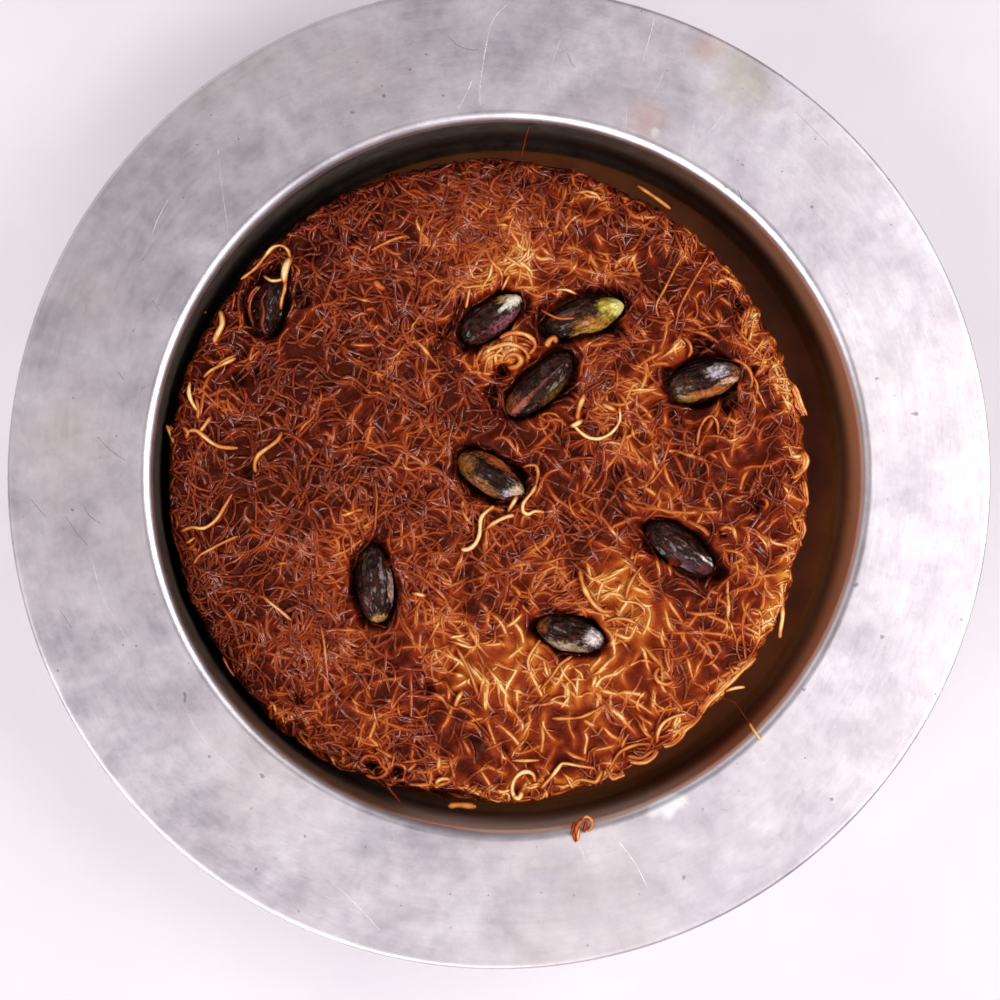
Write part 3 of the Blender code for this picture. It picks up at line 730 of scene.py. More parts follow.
def bakeAndPaintedLightAt(x, y):
    tone = crustTones["middle"] + crustTones["broad"] * noiseAt(x, y, 0.3, 95) + crustTones["fine"] * noiseAt(x, y, 0.7, 260)
    tone += crustTones["slant"] * (x - y) / cake["radius"]
    for amount, square in spotsNear(bakeAndPaintedLightSpots, x, y, 6):
        tone += amount * math.exp(-square)
    fromEdge = cake["radius"] - math.hypot(x, y)
    if fromEdge < crustTones["edgeReach"]:
        angle = math.atan2(y, x)
        # Painted light: the edge is drawn paler on its right, where it faces the window lamp
        lit = smoothStep(-0.3, 1.0, math.cos(angle + 0.3)) * (0.6 + 0.9 * noiseAt(x, y, 0.9, 120))
        tone += (crustTones["edgePale"] * lit - crustTones["edgeDark"]) * (1 - smoothStep(1.5 * mm, 5 * mm, fromEdge))
    # Painted shade: darker in hollows and in the pockets round kernels
    tone -= crustTones["perHollow"] * hollowDepth(x, y)[0] / mm + crustTones["perPocket"] * pocketDepth(x, y) / mm
    # Painted shade: dark gaps where strands lie crowded
    tone -= crustTones["gaps"] * crowding(x, y) * smoothStep(0.10, 0.42, noiseAt(x, y, 0.8, 150))
    return max(0.0, tone)


skinReach = cake["radius"] - cake["edge"] + cake["edge"] * math.pi / 2 + (cake["top"] - cake["edge"] - cake["base"])


# Strands lie crowded at the upper left and in knots, and open where syrup has filled the crust
def crowding(x, y):
    slope = 0.5 + 0.40 * (y - 0.7 * x) / cake["radius"]
    return min(1.0, max(0.0, slope + 0.6 * noiseAt(x, y, 0.2, 75)))


# Kinds of strand: reach over the skin, length, thickness, lift and wave in mm; bend in radians, in open
# and in crowded places, and wander at each step; how much paler than the crust; how far they keep to the
# crowded places; and the sides of their tubes
strandColumns = (
    "count", "reach", "length", "thick", "steps", "lift", "wave", "bend", "wander", "paler", "crowd", "sides")
strandKinds = {name: dict(zip(strandColumns, row)) for name, row in {
    "web_strands": (
        1500, (0, 71), (6, 14), (0.4, 0.56), 11, (-0.75, -0.22), 0.05, (1.2, 1.8), 0.16, (0.02, 0.06), 0, 6),
    "mat_strands": (
        1950, (0, 72), (6, 13), (0.42, 0.62), 8, (-0.62, -0.18), 0.1, (1.2, 0.6), 0.2, (0.01, 0.09), 0.1, 5),
    "curly_strands": (
        1150, (0, 71.5), (6, 14), (0.4, 0.58), 10, (-0.55, 0.06), 0.16, (1.4, 0.6), 0.16, (0.06, 0.12), 1.1, 5),
    "gold_strands": (
        320, (0, 71.5), (4, 12), (0.3, 0.42), 10, (-0.55, 0.22), 0.22, (1.4, 1.8), 0.2, (0.17, 0.08), 0, 7),
    "edge_strands": (
        620, (69.5, 74.5), (4, 12), (0.3, 0.54), 9, (-0.5, 0.2), 0.25, (2.6, 0.6), 0.3, (0.1, 0.12), 0, 5),
    "side_strands": (
        1800, (73.5, 92.5), (8, 18), (0.34, 0.52), 8, (-0.45, 0.35), 0.2, (1.6, 0.2), 0.15, (0.06, 0.12), 0, 5),
}.items()}

# The ridges that show most: how much paler than the crust, then points in photo pixels
ridgeLines = [
    (0.34, 488, 612, 497, 618, 504, 628, 507, 640), (0.4, 504, 628, 514, 622, 524, 612),
    (0.36, 514, 622, 521, 632, 524, 645), (0.3, 496, 600, 508, 604, 522, 600, 534, 606),
    (0.26, 478, 600, 488, 612, 486, 628), (0.3, 524, 645, 516, 652, 506, 660),
    (0.12, 410, 665, 411, 689, 411, 712, 410, 735), (0.3, 413, 746, 412, 756, 411, 766),
    (0.14, 423, 627, 434, 630, 446, 633, 460, 640, 469, 645, 475, 652), (0.34, 485, 688, 485, 700, 486, 711),
    (0.1, 469, 622, 471, 633, 480, 645), (0.2, 486, 712, 488, 723, 492, 735, 496, 746, 503, 758),
    (0.28, 494, 721, 503, 728, 512, 736, 519, 745, 519, 755), (0.16, 452, 705, 448, 719, 440, 730),
    (0.2, 457, 705, 467, 710, 476, 716), (0.26, 428, 675, 436, 680, 445, 685),
    (0.22, 421, 674, 422, 681, 423, 688), (0.2, 448, 688, 449, 694, 449, 700),
    (0.22, 462, 738, 467, 747, 472, 757), (0.12, 409, 738, 419, 738, 429, 738),
    (0.22, 478, 766, 485, 777, 494, 792),
    (0.26, 530, 638, 538, 650, 530, 661, 530, 671, 535, 682, 542, 696, 545, 707),
    (0.18, 545, 707, 543, 723, 546, 730, 552, 738, 560, 743), (0.16, 542, 723, 543, 739, 541, 755),
    (0.2, 574, 658, 565, 669, 558, 682, 549, 693), (0.14, 548, 699, 561, 703, 574, 708),
    (0.22, 494, 674, 502, 688, 509, 699), (0.14, 517, 688, 517, 697, 518, 705),
    (0.18, 527, 707, 530, 721, 525, 732, 519, 743), (0.2, 486, 765, 496, 770, 506, 774),
    (0.12, 469, 723, 473, 720, 485, 718), (0.2, 558, 788, 570, 784, 579, 780),
    (0.34, 633, 525, 643, 534, 652, 547, 656, 558, 659, 571, 660, 582),
    (0.12, 617, 563, 629, 559, 640, 555, 651, 559), (0.12, 628, 583, 640, 590, 651, 596),
    (0.14, 632, 596, 624, 606, 616, 619), (0.14, 606, 630, 617, 634, 628, 638, 633, 632, 639, 618),
    (0.12, 645, 604, 650, 612, 647, 627, 640, 638), (0.22, 667, 598, 672, 607, 681, 620, 686, 629),
    (0.18, 664, 604, 667, 618, 670, 627, 676, 634), (0.18, 686, 629, 709, 633, 725, 635, 738, 641),
    (0.2, 699, 612, 713, 617, 726, 623, 734, 634), (0.16, 686, 629, 693, 620, 699, 612),
    (0.18, 683, 630, 684, 638, 684, 645), (0.2, 689, 634, 700, 644, 713, 656),
    (0.22, 699, 605, 704, 601, 710, 596), (0.2, 715, 599, 724, 602, 730, 615),
    (0.2, 707, 590, 714, 592, 720, 594), (0.18, 689, 598, 687, 604, 686, 609),
    (0.16, 661, 630, 662, 641, 666, 648), (0.26, 637, 644, 644, 651, 647, 665, 651, 676),
    (0.2, 594, 487, 597, 494, 599, 502), (0.18, 577, 482, 577, 488, 577, 494),
    (0.32, 624, 486, 633, 494, 640, 505), (0.24, 624, 501, 631, 506, 638, 512),
    (0.24, 656, 495, 660, 501, 654, 513), (0.2, 616, 493, 612, 498, 609, 502),
    (0.2, 586, 560, 590, 575, 591, 589), (0.28, 668, 565, 670, 571, 671, 578),
    (0.22, 715, 544, 718, 533, 725, 527, 732, 529, 738, 536),
    (0.26, 628, 194, 625, 202, 630, 213, 639, 218, 652, 216), (0.3, 685, 223, 695, 230, 707, 239, 716, 251),
    (0.16, 726, 265, 739, 281, 751, 295), (0.28, 686, 244, 685, 254, 676, 265),
    (0.18, 652, 239, 649, 250, 653, 259), (0.2, 662, 239, 665, 247, 668, 255),
    (0.26, 635, 249, 634, 262, 637, 273, 640, 284), (0.14, 583, 251, 592, 260, 598, 272, 594, 286),
    (0.14, 560, 249, 575, 248, 585, 254), (0.26, 605, 251, 607, 257, 608, 264),
    (0.18, 594, 231, 598, 238, 602, 246), (0.18, 560, 200, 565, 193, 570, 185),
    (0.22, 564, 223, 568, 218, 573, 213), (0.24, 695, 302, 698, 294, 704, 292, 704, 302),
    (0.26, 686, 314, 698, 324, 708, 332), (0.26, 686, 327, 700, 332, 717, 342),
    (0.22, 714, 294, 726, 301, 732, 308), (0.22, 716, 308, 719, 318, 723, 327),
    (0.16, 699, 309, 706, 316, 713, 324), (0.3, 749, 308, 744, 316, 739, 323),
    (0.34, 634, 322, 642, 331, 647, 338), (0.22, 654, 341, 653, 348, 652, 355),
    (0.3, 614, 231, 618, 233, 621, 236), (0.24, 664, 458, 665, 470, 669, 481, 678, 492),
    (0.2, 668, 447, 676, 458, 682, 471, 687, 479), (0.2, 640, 484, 649, 490, 657, 496),
    (0.24, 655, 468, 653, 475, 651, 481), (0.32, 719, 447, 723, 456, 727, 464, 735, 471),
    (0.28, 708, 452, 713, 455, 718, 459), (0.24, 702, 459, 707, 465, 709, 479),
    (0.24, 750, 468, 744, 476, 741, 486, 741, 492), (0.22, 720, 490, 726, 488, 731, 486),
    (0.22, 702, 512, 711, 512, 720, 512), (0.16, 728, 506, 732, 500, 743, 496, 752, 496),
    (0.3, 755, 498, 765, 499, 767, 505, 762, 511), (0.18, 741, 519, 749, 517, 757, 515),
    (0.3, 756, 529, 761, 524, 766, 519), (0.18, 775, 515, 769, 527, 756, 538),
    (0.18, 762, 537, 767, 541, 769, 548), (0.26, 786, 389, 787, 399, 786, 409),
    (0.24, 750, 383, 755, 401, 761, 403), (0.24, 743, 380, 741, 395, 743, 405),
    (0.22, 772, 380, 778, 391, 778, 395), (0.16, 719, 417, 732, 420, 741, 426),
    (0.14, 665, 411, 665, 419, 666, 426), (0.14, 678, 410, 679, 418, 680, 426),
    (0.2, 620, 693, 630, 699, 640, 705, 650, 712, 658, 716), (0.18, 608, 705, 619, 714, 627, 724, 639, 737),
    (0.24, 637, 713, 643, 719, 650, 723, 651, 727), (0.2, 643, 719, 644, 727, 650, 738),
    (0.16, 598, 689, 609, 692, 620, 695), (0.18, 620, 692, 633, 693, 647, 696),
    (0.2, 654, 686, 653, 700, 653, 710), (0.24, 686, 653, 689, 664, 692, 676, 695, 682),
    (0.2, 700, 661, 697, 669, 695, 676), (0.34, 710, 661, 716, 667, 720, 672),
    (0.22, 700, 647, 709, 654, 720, 658), (0.14, 702, 689, 714, 681, 725, 675, 739, 667),
    (0.3, 582, 727, 587, 738, 585, 749, 585, 759), (0.18, 564, 749, 574, 756, 589, 761),
    (0.16, 591, 751, 605, 748, 617, 745), (0.32, 584, 720, 589, 723, 595, 726),
    (0.2, 599, 721, 609, 733, 616, 738, 620, 740), (0.16, 580, 671, 577, 686, 578, 707),
    (0.14, 567, 681, 568, 696, 566, 706), (0.16, 596, 674, 594, 681, 592, 688),
    (0.26, 214, 340, 236, 327, 260, 329), (0.24, 226, 378, 236, 364, 249, 359, 253, 347, 264, 336, 271, 329),
    (0.36, 329, 219, 329, 230, 336, 237), (0.2, 343, 216, 350, 208, 360, 199),
    (0.18, 343, 216, 343, 226, 344, 237), (0.22, 333, 257, 334, 271, 326, 296, 323, 303),
    (0.34, 346, 285, 345, 295, 343, 305), (0.2, 315, 275, 317, 284, 319, 292),
    (0.3, 333, 338, 326, 355, 329, 373), (0.24, 343, 341, 346, 355, 362, 365),
    (0.24, 348, 344, 362, 345, 376, 345), (0.26, 284, 239, 299, 228, 309, 223),
    (0.2, 289, 319, 293, 313, 298, 307), (0.18, 275, 368, 289, 369, 303, 371),
    (0.3, 376, 366, 378, 378, 381, 389), (0.34, 395, 257, 396, 264, 396, 271),
    (0.28, 395, 202, 394, 214, 393, 226), (0.28, 365, 310, 370, 309, 375, 309),
]


# A smooth line through points, a few steps to each
def smoothLine(points, each=3):
    made = []
    for i in range(len(points) - 1):
        before = points[max(0, i - 1)]
        start, end = points[i], points[i + 1]
        after = points[min(len(points) - 1, i + 2)]
        for step in range(each):
            share = step / each
            made.append(tuple(
                0.5 * (2 * b + (c - a) * share + (2 * a - 5 * b + 4 * c - d) * share ** 2
                       + (3 * b - a - 3 * c + d) * share ** 3)
                for a, b, c, d in zip(before, start, end, after)))
    made.append(tuple(points[-1]))
    return made


# The places along one strand, over the skin. With roots, most strands start on another one.
def drawLine(draw, kind, roots=None):
    low, high = kind["reach"]
    reach = math.sqrt(draw.uniform(low ** 2, high ** 2)) * mm
    angle = draw.uniform(0, math.tau)
    heading = draw.uniform(0, math.tau)
    x, y = reach * math.cos(angle), reach * math.sin(angle)
    if roots and draw.random() < 0.55:
        x, y = draw.choice(roots)
    if low > 60:
        # Strands of the side lie mostly round it
        heading = angle + math.pi / 2 + draw.gauss(0, 0.75)
    crowd = crowding(x, y)
    length = draw.uniform(*kind["length"]) * mm
    bend = draw.uniform(-1, 1) * (kind["bend"][0] + kind["bend"][1] * crowd)
    kink = draw.uniform(-1.0, 1.0)
    if crowd < kind["crowd"] * draw.random():
        return []
    if not roots:
        x -= length / 2 * math.cos(heading + bend / 2)
        y -= length / 2 * math.sin(heading + bend / 2)
    line = []
    wander = 0.0
    for i in range(kind["steps"] + 1):
        share = i / kind["steps"]
        wander += draw.gauss(0, kind["wander"])
        if math.hypot(x, y) > skinReach - 0.5 * mm or (low < 60 and kernelNearness(x, y) < 0.98):
            break
        line.append((x, y))
        turn = heading + bend * share + kink * math.sin(math.pi * share) + wander
        x += length / kind["steps"] * math.cos(turn)
        y += length / kind["steps"] * math.sin(turn)
    return line if len(line) >= 4 else []


# The web is laid first, because the crust rises to it in fillets
def weaveWeb():
    draw = random.Random(300)
    kind = strandKinds["web_strands"]
    lines = [(smoothLine([cakePlace(*point) for point in pointsOf(numbers)]), 0.55 * paler)
             for paler, *numbers in ridgeLines]
    placed = kdtree.KDTree(sum(len(line) for line, _ in lines))
    for place in [place for line, _ in lines for place in line]:
        placed.insert((*place, 0.0), 0)
    placed.balance()
    roots = [(0.0, 0.0)]
    for _ in range(kind["count"]):
        line = drawLine(draw, kind, roots)
        if line and placed.find((*line[len(line) // 2], 0.0))[2] > 1.9 * mm:
            lines.append((line, draw.gauss(*kind["paler"])))
            roots += line[2:-2:3]
    return lines


webLines = weaveWeb()
webStrength = []
webTree = kdtree.KDTree(4 * sum(len(line) for line, _ in webLines))
for line, _ in webLines:
    for i in range(len(line) - 1):
        for step in range(4):
            share = (i + step / 4) / (len(line) - 1)
            x = line[i][0] + (line[i + 1][0] - line[i][0]) * step / 4
            y = line[i][1] + (line[i + 1][1] - line[i][1]) * step / 4
            webTree.insert((x, y, 0.0), len(webStrength))
            webStrength.append(min(1.0, 0.35 + 4.0 * share * (1 - share)))
webTree.balance()
print("web laid:", len(webLines), "strands")


# How near a point is to the web: 1 on a strand, and 1 well inside a pane between strands
def webAt(x, y):
    ridge, nearest = 0.0, 1.0
    for _, index, apart in webTree.find_n((x, y, 0.0), 3):
        ridge = max(ridge, webStrength[index] * math.exp(-(apart / cake["ridgeReach"]) ** 2))
        nearest = min(nearest, apart)
    return ridge, 1 - math.exp(-(nearest / cake["paneReach"]) ** 2)


# The height of the fused crust over its plain form, and its tone: pale on the web and dark in the sunken panes,
# partly syrup and partly painted shade
def coreAt(x, y):
    ridge, pane = webAt(x, y)
    crowd = crowding(x, y)
    lift = cake["ridge"] * ridge - cake["pane"] * pane * (1 - 0.6 * crowd) - cake["coreDrop"]
    tone = bakeAndPaintedLightAt(x, y) + crustTones["knots"] * crowd * noiseAt(x, y, 0.6, 330)
    tone += crustTones["ridge"] * ridge - crustTones["crowd"] * crowd - crustTones["pane"] * pane * (1 - 0.3 * crowd)
    # Only in hollows and round kernels is it darker than maroon, as painted shade in these recesses
    deep = max(hollowDepth(x, y)[0], pocketDepth(x, y))
    return lift, max(crustTones["darkest"] * (1 - smoothStep(0.2 * mm, 1.4 * mm, deep)), tone)


# From a square to a disc of the same even mesh
def roundOff(x, y):
    if abs(x) > abs(y):
        reach, angle = x, math.pi / 4 * y / x
    elif y:
        reach, angle = y, math.pi / 2 - math.pi / 4 * x / y
    else:
        reach, angle = 0.0, 0.0
    return reach * math.cos(angle), reach * math.sin(angle)


def makeCore():
    flat = cake["radius"] - cake["edge"]
    shape = bmesh.new()
    bake_and_painted_light = shape.verts.layers.float.new("bake_and_painted_light")
    bmesh.ops.create_grid(shape, x_segments=cake["grid"], y_segments=cake["grid"], size=1.0)
    for vertex in shape.verts:
        x, y = roundOff(vertex.co.x, vertex.co.y)
        vertex.co = (x * flat, y * flat, 0.0)
    ring = [edge for edge in shape.edges if edge.is_boundary]
    for i in range(1, cake["sideRings"] + 1):
        made = bmesh.ops.extrude_edge_only(shape, edges=ring)["geom"]
        reach = flat + (skinReach - flat) * (i / cake["sideRings"]) ** 1.3
        for vertex in [item for item in made if isinstance(item, bmesh.types.BMVert)]:
            vertex.co *= reach / vertex.co.length
        ring = [item for item in made if isinstance(item, bmesh.types.BMEdge) and item.is_boundary]
    for vertex in shape.verts:
        x, y, _ = vertex.co
        side = smoothStep(cake["radius"], cake["radius"] + 6 * mm, math.hypot(x, y))
        lift, tone = coreAt(x, y)
        vertex[bake_and_painted_light] = max(0.0, tone + 0.10 * side)
        relief = (0.06 + 0.14 * crowding(x, y)) * mm * noiseAt(x, y, 0.4, 620)
        px, py, pz = skinPoint(x, y, relief + lift)
        vertex.co = inDish(px, py, max(pz, cake["base"]))
    bmesh.ops.holes_fill(shape, edges=ring, sides=0)
    bmesh.ops.recalc_face_normals(shape, faces=shape.faces)
    piece = newPiece("baked_crust", shape, crustMaterial())
    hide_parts("kunafa")


# Strands are lines of points, each with a thickness and a tone, drawn out as closed tubes
def tubeGroup(sides):
    group = bpy.data.node_groups.new("strand_tubes", "GeometryNodeTree")
    group.interface.new_socket("Lines", in_out="INPUT", socket_type="NodeSocketGeometry")
    group.interface.new_socket("Tubes", in_out="OUTPUT", socket_type="NodeSocketGeometry")
    given = group.nodes.new("NodeGroupInput")
    result = group.nodes.new("NodeGroupOutput")
    curve = addNode(group, "GeometryNodeMeshToCurve", {0: given.outputs[0]})
    ring = addNode(group, "GeometryNodeCurvePrimitiveCircle", {"Resolution": sides, "Radius": 1.0})
    thick = addNode(group, "GeometryNodeInputNamedAttribute", {"Name": "thick"}, data_type="FLOAT")
    tubes = addNode(group, "GeometryNodeCurveToMesh", {
        "Curve": curve.outputs[0], "Profile Curve": ring.outputs[0],
        "Scale": thick.outputs["Attribute"], "Fill Caps": True})
    group.links.new(tubes.outputs[0], result.inputs[0])
    return group


def makeStrands(name, lines, material, sides):
    points, edges, thick, bake_and_painted_light = [], [], [], []
    for line in lines:
        first = len(points)
        for place, radius, tone in line:
            points.append(place)
            thick.append(radius)
            bake_and_painted_light.append(tone)
        edges += [(i, i + 1) for i in range(first, len(points) - 1)]
    mesh = bpy.data.meshes.new(name + "_lines")
    mesh.from_pydata(points, edges, [])
    mesh.attributes.new("thick", "FLOAT", "POINT").data.foreach_set("value", thick)
    mesh.attributes.new("bake_and_painted_light", "FLOAT", "POINT").data.foreach_set("value", bake_and_painted_light)
    draft = bpy.data.objects.new(name + "_lines", mesh)
    scene.collection.objects.link(draft)
    modifier = draft.modifiers.new("tubes", "NODES")
    modifier.node_group = tubeGroup(sides)
    graph = bpy.context.evaluated_depsgraph_get()
    tubes = bpy.data.meshes.new_from_object(
        draft.evaluated_get(graph), preserve_all_data_layers=True, depsgraph=graph)
    bpy.data.objects.remove(draft)
    tubes.attributes.remove(tubes.attributes["thick"])
    tubes.name = name
    finishPiece(name, tubes, material)
    triangles = sum(len(face.vertices) - 2 for face in tubes.polygons)
    print(name + ":", len(lines), "strands,", triangles, "triangles")


# A strand's ends sink into the crust and take its colour
def dressLine(draw, kind, line, paler):
    darkest, palest = crustTones["strandLimits"]
    thick = draw.uniform(*kind["thick"]) * mm
    waves = draw.uniform(0.8, 2.2)
    phase = draw.uniform(0, math.tau)
    strand = []
    for i, (x, y) in enumerate(line):
        share = i / (len(line) - 1)
        arch = max(0.0, math.sin(math.pi * share)) ** 0.6
        lift = kind["lift"][0] + (kind["lift"][1] - kind["lift"][0]) * arch
        lift += kind["wave"] * math.sin(phase + math.tau * waves * share) * arch
        core, tone = coreAt(x, y)
        uneven = noiseAt(x, y, 0.35, 800)
        tone += paler * (0.2 + 0.8 * arch) + 0.08 * noiseAt(x, y, 0.45, 420)
        strand.append((
            inDish(*skinPoint(x, y, lift * mm + core)),
            thick * (0.50 + 0.50 * arch) * (1 + 0.45 * uneven), min(palest, max(darkest, tone))))
    return strand


# Loose strands of paler dough: thickness and lift in mm, how far baked, then points in photo pixels
looseStrands = [
    (0.42, 1.8, 0.88, 241, 279, 256, 268, 266, 256, 273, 248, 282, 246, 289, 252, 291, 264),
    (0.8, 1.9, 0.98, 291, 258, 287, 266, 285, 275, 285, 283),
    (0.4, 1.6, 0.92, 264, 276, 272, 281, 282, 280, 288, 276),
    (0.42, 1.3, 0.86, 286, 280, 285, 290, 282, 300, 281, 309),
    (0.4, 0.8, 0.74, 372, 250, 384, 244, 396, 239, 408, 236),
    (0.42, 1.0, 0.84, 204, 377, 212, 370, 224, 364, 236, 358),
    (0.44, 0.9, 0.98, 190, 382, 189, 392, 192, 402, 198, 411),
    (0.5, 0.9, 0.84, 187, 432, 195, 430, 204, 436, 211, 442, 222, 447, 238, 448),
    (0.5, 0.9, 0.84, 200, 432, 206, 424, 211, 417), (0.55, 0.7, 0.74, 183, 427, 188, 432, 186, 438),
    (0.4, -1.2, 0.86, 166, 425, 169, 433, 173, 443),
    (0.52, 1.0, 0.82, 282, 432, 278, 440, 268, 448, 259, 455, 255, 464, 256, 472),
    (0.42, 1.2, 0.98, 573, 424, 580, 432, 590, 438, 602, 438, 614, 430, 620, 419, 619, 408),
    (0.55, 1.3, 0.86, 602, 404, 610, 408, 616, 411), (0.6, 1.2, 0.8, 577, 420, 579, 408, 583, 398, 584, 394),
    (0.55, 1.1, 0.96, 571, 426, 576, 424, 582, 420),
    (0.52, 1.1, 0.97, 461, 549, 468, 549, 475, 544, 479, 536, 480, 529, 481, 518, 487, 511, 494, 506),
    (0.52, 1.0, 0.9, 487, 528, 492, 524, 497, 521, 503, 518, 509, 516, 514, 515),
    (0.46, 1.0, 0.95, 536, 485, 532, 492, 527, 498, 523, 504, 523, 511, 528, 514, 535, 511, 544, 512),
    (0.4, 0.9, 0.74, 523, 467, 530, 465, 536, 466, 538, 474, 536, 485),
    (0.5, 1.4, 0.92, 508, 511, 513, 503, 517, 496),
    (0.62, 1.2, 0.86, 580, 570, 582, 582, 587, 594, 594, 604, 603, 611, 613, 611),
    (0.4, 1.0, 0.84, 263, 596, 270, 602, 280, 610, 291, 620), (0.48, 1.0, 0.86, 412, 593, 419, 594, 426, 596),
    (0.44, 1.1, 0.84, 181, 531, 192, 527, 204, 528, 216, 520, 224, 508, 232, 494),
    (0.38, 1.0, 0.78, 194, 563, 200, 555, 211, 549, 224, 542, 238, 536),
    (0.34, 0.8, 0.78, 186, 543, 190, 541, 195, 537), (0.36, 0.9, 0.68, 321, 625, 324, 640, 326, 660, 328, 678),
    (0.32, 0.7, 0.58, 375, 480, 377, 498, 376, 514, 375, 530),
    (0.42, 0.9, 0.74, 457, 648, 466, 664, 473, 680, 478, 695), (0.34, 0.8, 0.66, 373, 705, 375, 716, 379, 728),
    (0.56, 1.0, 0.8, 463, 690, 458, 698, 455, 706),
    (0.52, 1.2, 0.96, 515, 798, 512, 790, 514, 780, 520, 773, 527, 771, 533, 774, 535, 781),
    (0.6, 1.1, 0.98, 513, 796, 519, 798, 522, 791),
    (0.42, 1.1, 0.86, 541, 788, 550, 778, 558, 768, 563, 763, 577, 765, 594, 768),
    (0.36, 0.9, 0.84, 512, 760, 526, 760, 539, 760),
    (0.42, 1.0, 0.8, 552, 718, 566, 718, 580, 717, 592, 712, 604, 705),
    (0.5, 0.9, 0.86, 436, 785, 438, 780, 444, 778, 451, 779), (0.74, -0.3, 0.8, 448, 806, 460, 805, 476, 807),
    (0.48, 0.2, 0.62, 360, 762, 366, 756, 376, 757, 382, 765, 387, 772, 377, 778, 366, 775),
    (0.4, -3.0, 0.5, 382, 777, 386, 786, 392, 794, 400, 803), (0.44, 0.0, 0.7, 409, 784, 420, 785, 432, 784),
    (0.52, 0.6, 0.72, 376, 748, 384, 752, 392, 757),
    (0.66, 0.9, 0.9, 220, 311, 222, 318, 222, 325, 218, 333, 214, 342),
    (0.85, 0.7, 0.68, 375, 281, 379, 286, 385, 289), (0.36, 0.8, 0.72, 223, 657, 228, 667, 234, 676),
    (0.52, 0.8, 0.74, 659, 667, 655, 674, 658, 681, 667, 684, 674, 680),
    (0.44, 0.9, 0.86, 657, 742, 658, 732, 663, 723, 670, 718, 678, 715, 686, 714),
    (0.32, 0.9, 0.7, 659, 318, 656, 310, 657, 302, 664, 290, 674, 270, 686, 249),
    (0.32, 0.9, 0.68, 676, 325, 678, 313, 682, 302, 694, 280, 710, 253),
    (0.36, 0.9, 0.74, 697, 445, 699, 430, 705, 419, 712, 416, 717, 423, 718, 434),
    (0.44, 0.7, 0.82, 638, 186, 650, 194, 661, 202, 670, 209),
    (0.5, -0.6, 0.94, 783, 606, 783, 618, 781, 630, 780, 638), (0.4, -0.4, 0.92, 726, 691, 736, 688, 745, 687),
    (0.58, 0.7, 0.82, 500, 338, 508, 334, 516, 333, 526, 335, 533, 340, 535, 347, 529, 354),
    (0.64, 0.5, 0.84, 482, 356, 489, 350, 498, 346, 508, 344, 517, 346, 525, 351, 529, 359),
    (0.66, 0.8, 0.76, 504, 361, 509, 355, 517, 355, 521, 361, 516, 367, 508, 367),
    (0.8, 0.5, 0.7, 481, 362, 487, 355, 496, 351), (0.7, 0.8, 0.74, 546, 347, 549, 341, 554, 338, 556, 343),
    (0.34, 0.8, 0.92, 556, 290, 566, 290, 576, 294), (0.36, 0.8, 0.84, 466, 308, 468, 298, 470, 288),
    (0.3, 0.9, 0.84, 502, 290, 506, 282, 510, 274), (0.4, 0.8, 0.74, 626, 600, 628, 588, 634, 576, 642, 566),
    (0.42, 0.8, 0.76, 604, 622, 616, 618, 630, 620, 642, 628),
    (0.44, 0.8, 0.84, 530, 672, 528, 660, 534, 648, 540, 640),
    (0.4, 0.7, 0.76, 540, 690, 552, 676, 560, 664, 572, 656),
    (0.5, -0.2, 0.86, 756, 658, 749, 665, 741, 672, 731, 682, 721, 692, 709, 703, 702, 714),
    (0.46, -0.3, 0.8, 702, 714, 695, 723, 686, 730, 682, 737, 674, 744, 664, 747),
    (0.44, -0.3, 0.8, 658, 751, 654, 757, 647, 762, 639, 763, 630, 762),
    (0.42, 0.2, 0.72, 650, 744, 639, 744, 629, 747, 620, 752, 613, 762, 609, 770),
    (0.42, 0.1, 0.78, 602, 770, 599, 777, 595, 782, 585, 780, 578, 780, 568, 786, 560, 789),
    (0.44, 0.0, 0.82, 608, 772, 612, 779, 619, 777, 625, 775),
    (0.42, -0.2, 0.86, 793, 384, 798, 392, 802, 404, 807, 415),
    (0.44, -0.3, 0.8, 804, 451, 808, 460, 803, 471, 793, 478), (0.4, -0.5, 0.78, 805, 481, 807, 492, 808, 502),
    (0.38, -0.5, 0.76, 803, 520, 805, 530, 801, 540), (0.6, 0.4, 0.66, 686, 520, 694, 524, 703, 529, 709, 536),
    (0.4, 0.9, 0.72, 683, 337, 689, 343, 691, 351, 688, 357),
    (0.4, 0.3, 0.3, 266, 334, 262, 324, 264, 312, 262, 300, 267, 290),
    (0.4, -0.1, 0.4, 253, 324, 249, 310, 252, 296, 260, 286), (0.34, 0.3, 0.52, 248, 302, 252, 292, 258, 286),
    (0.3, 0.3, 0.56, 232, 310, 234, 300, 234, 292), (0.34, 0.9, 0.72, 212, 372, 222, 362, 238, 354),
    (0.5, 0.2, 0.6, 204, 392, 202, 404, 200, 416), (0.6, 0.3, 0.72, 196, 398, 198, 408, 198, 418),
    (0.3, 1.4, 0.66, 541, 310, 549, 315, 560, 319, 575, 318), (0.3, 0.8, 0.8, 752, 375, 757, 385, 756, 395),
    (0.26, 0.8, 0.76, 754, 384, 760, 396, 766, 408),
    (0.44, 0.7, 0.7, 733, 359, 742, 363, 749, 370, 752, 380, 750, 388),
    (0.4, 0.5, 0.66, 690, 331, 702, 333, 712, 338, 718, 343),
]


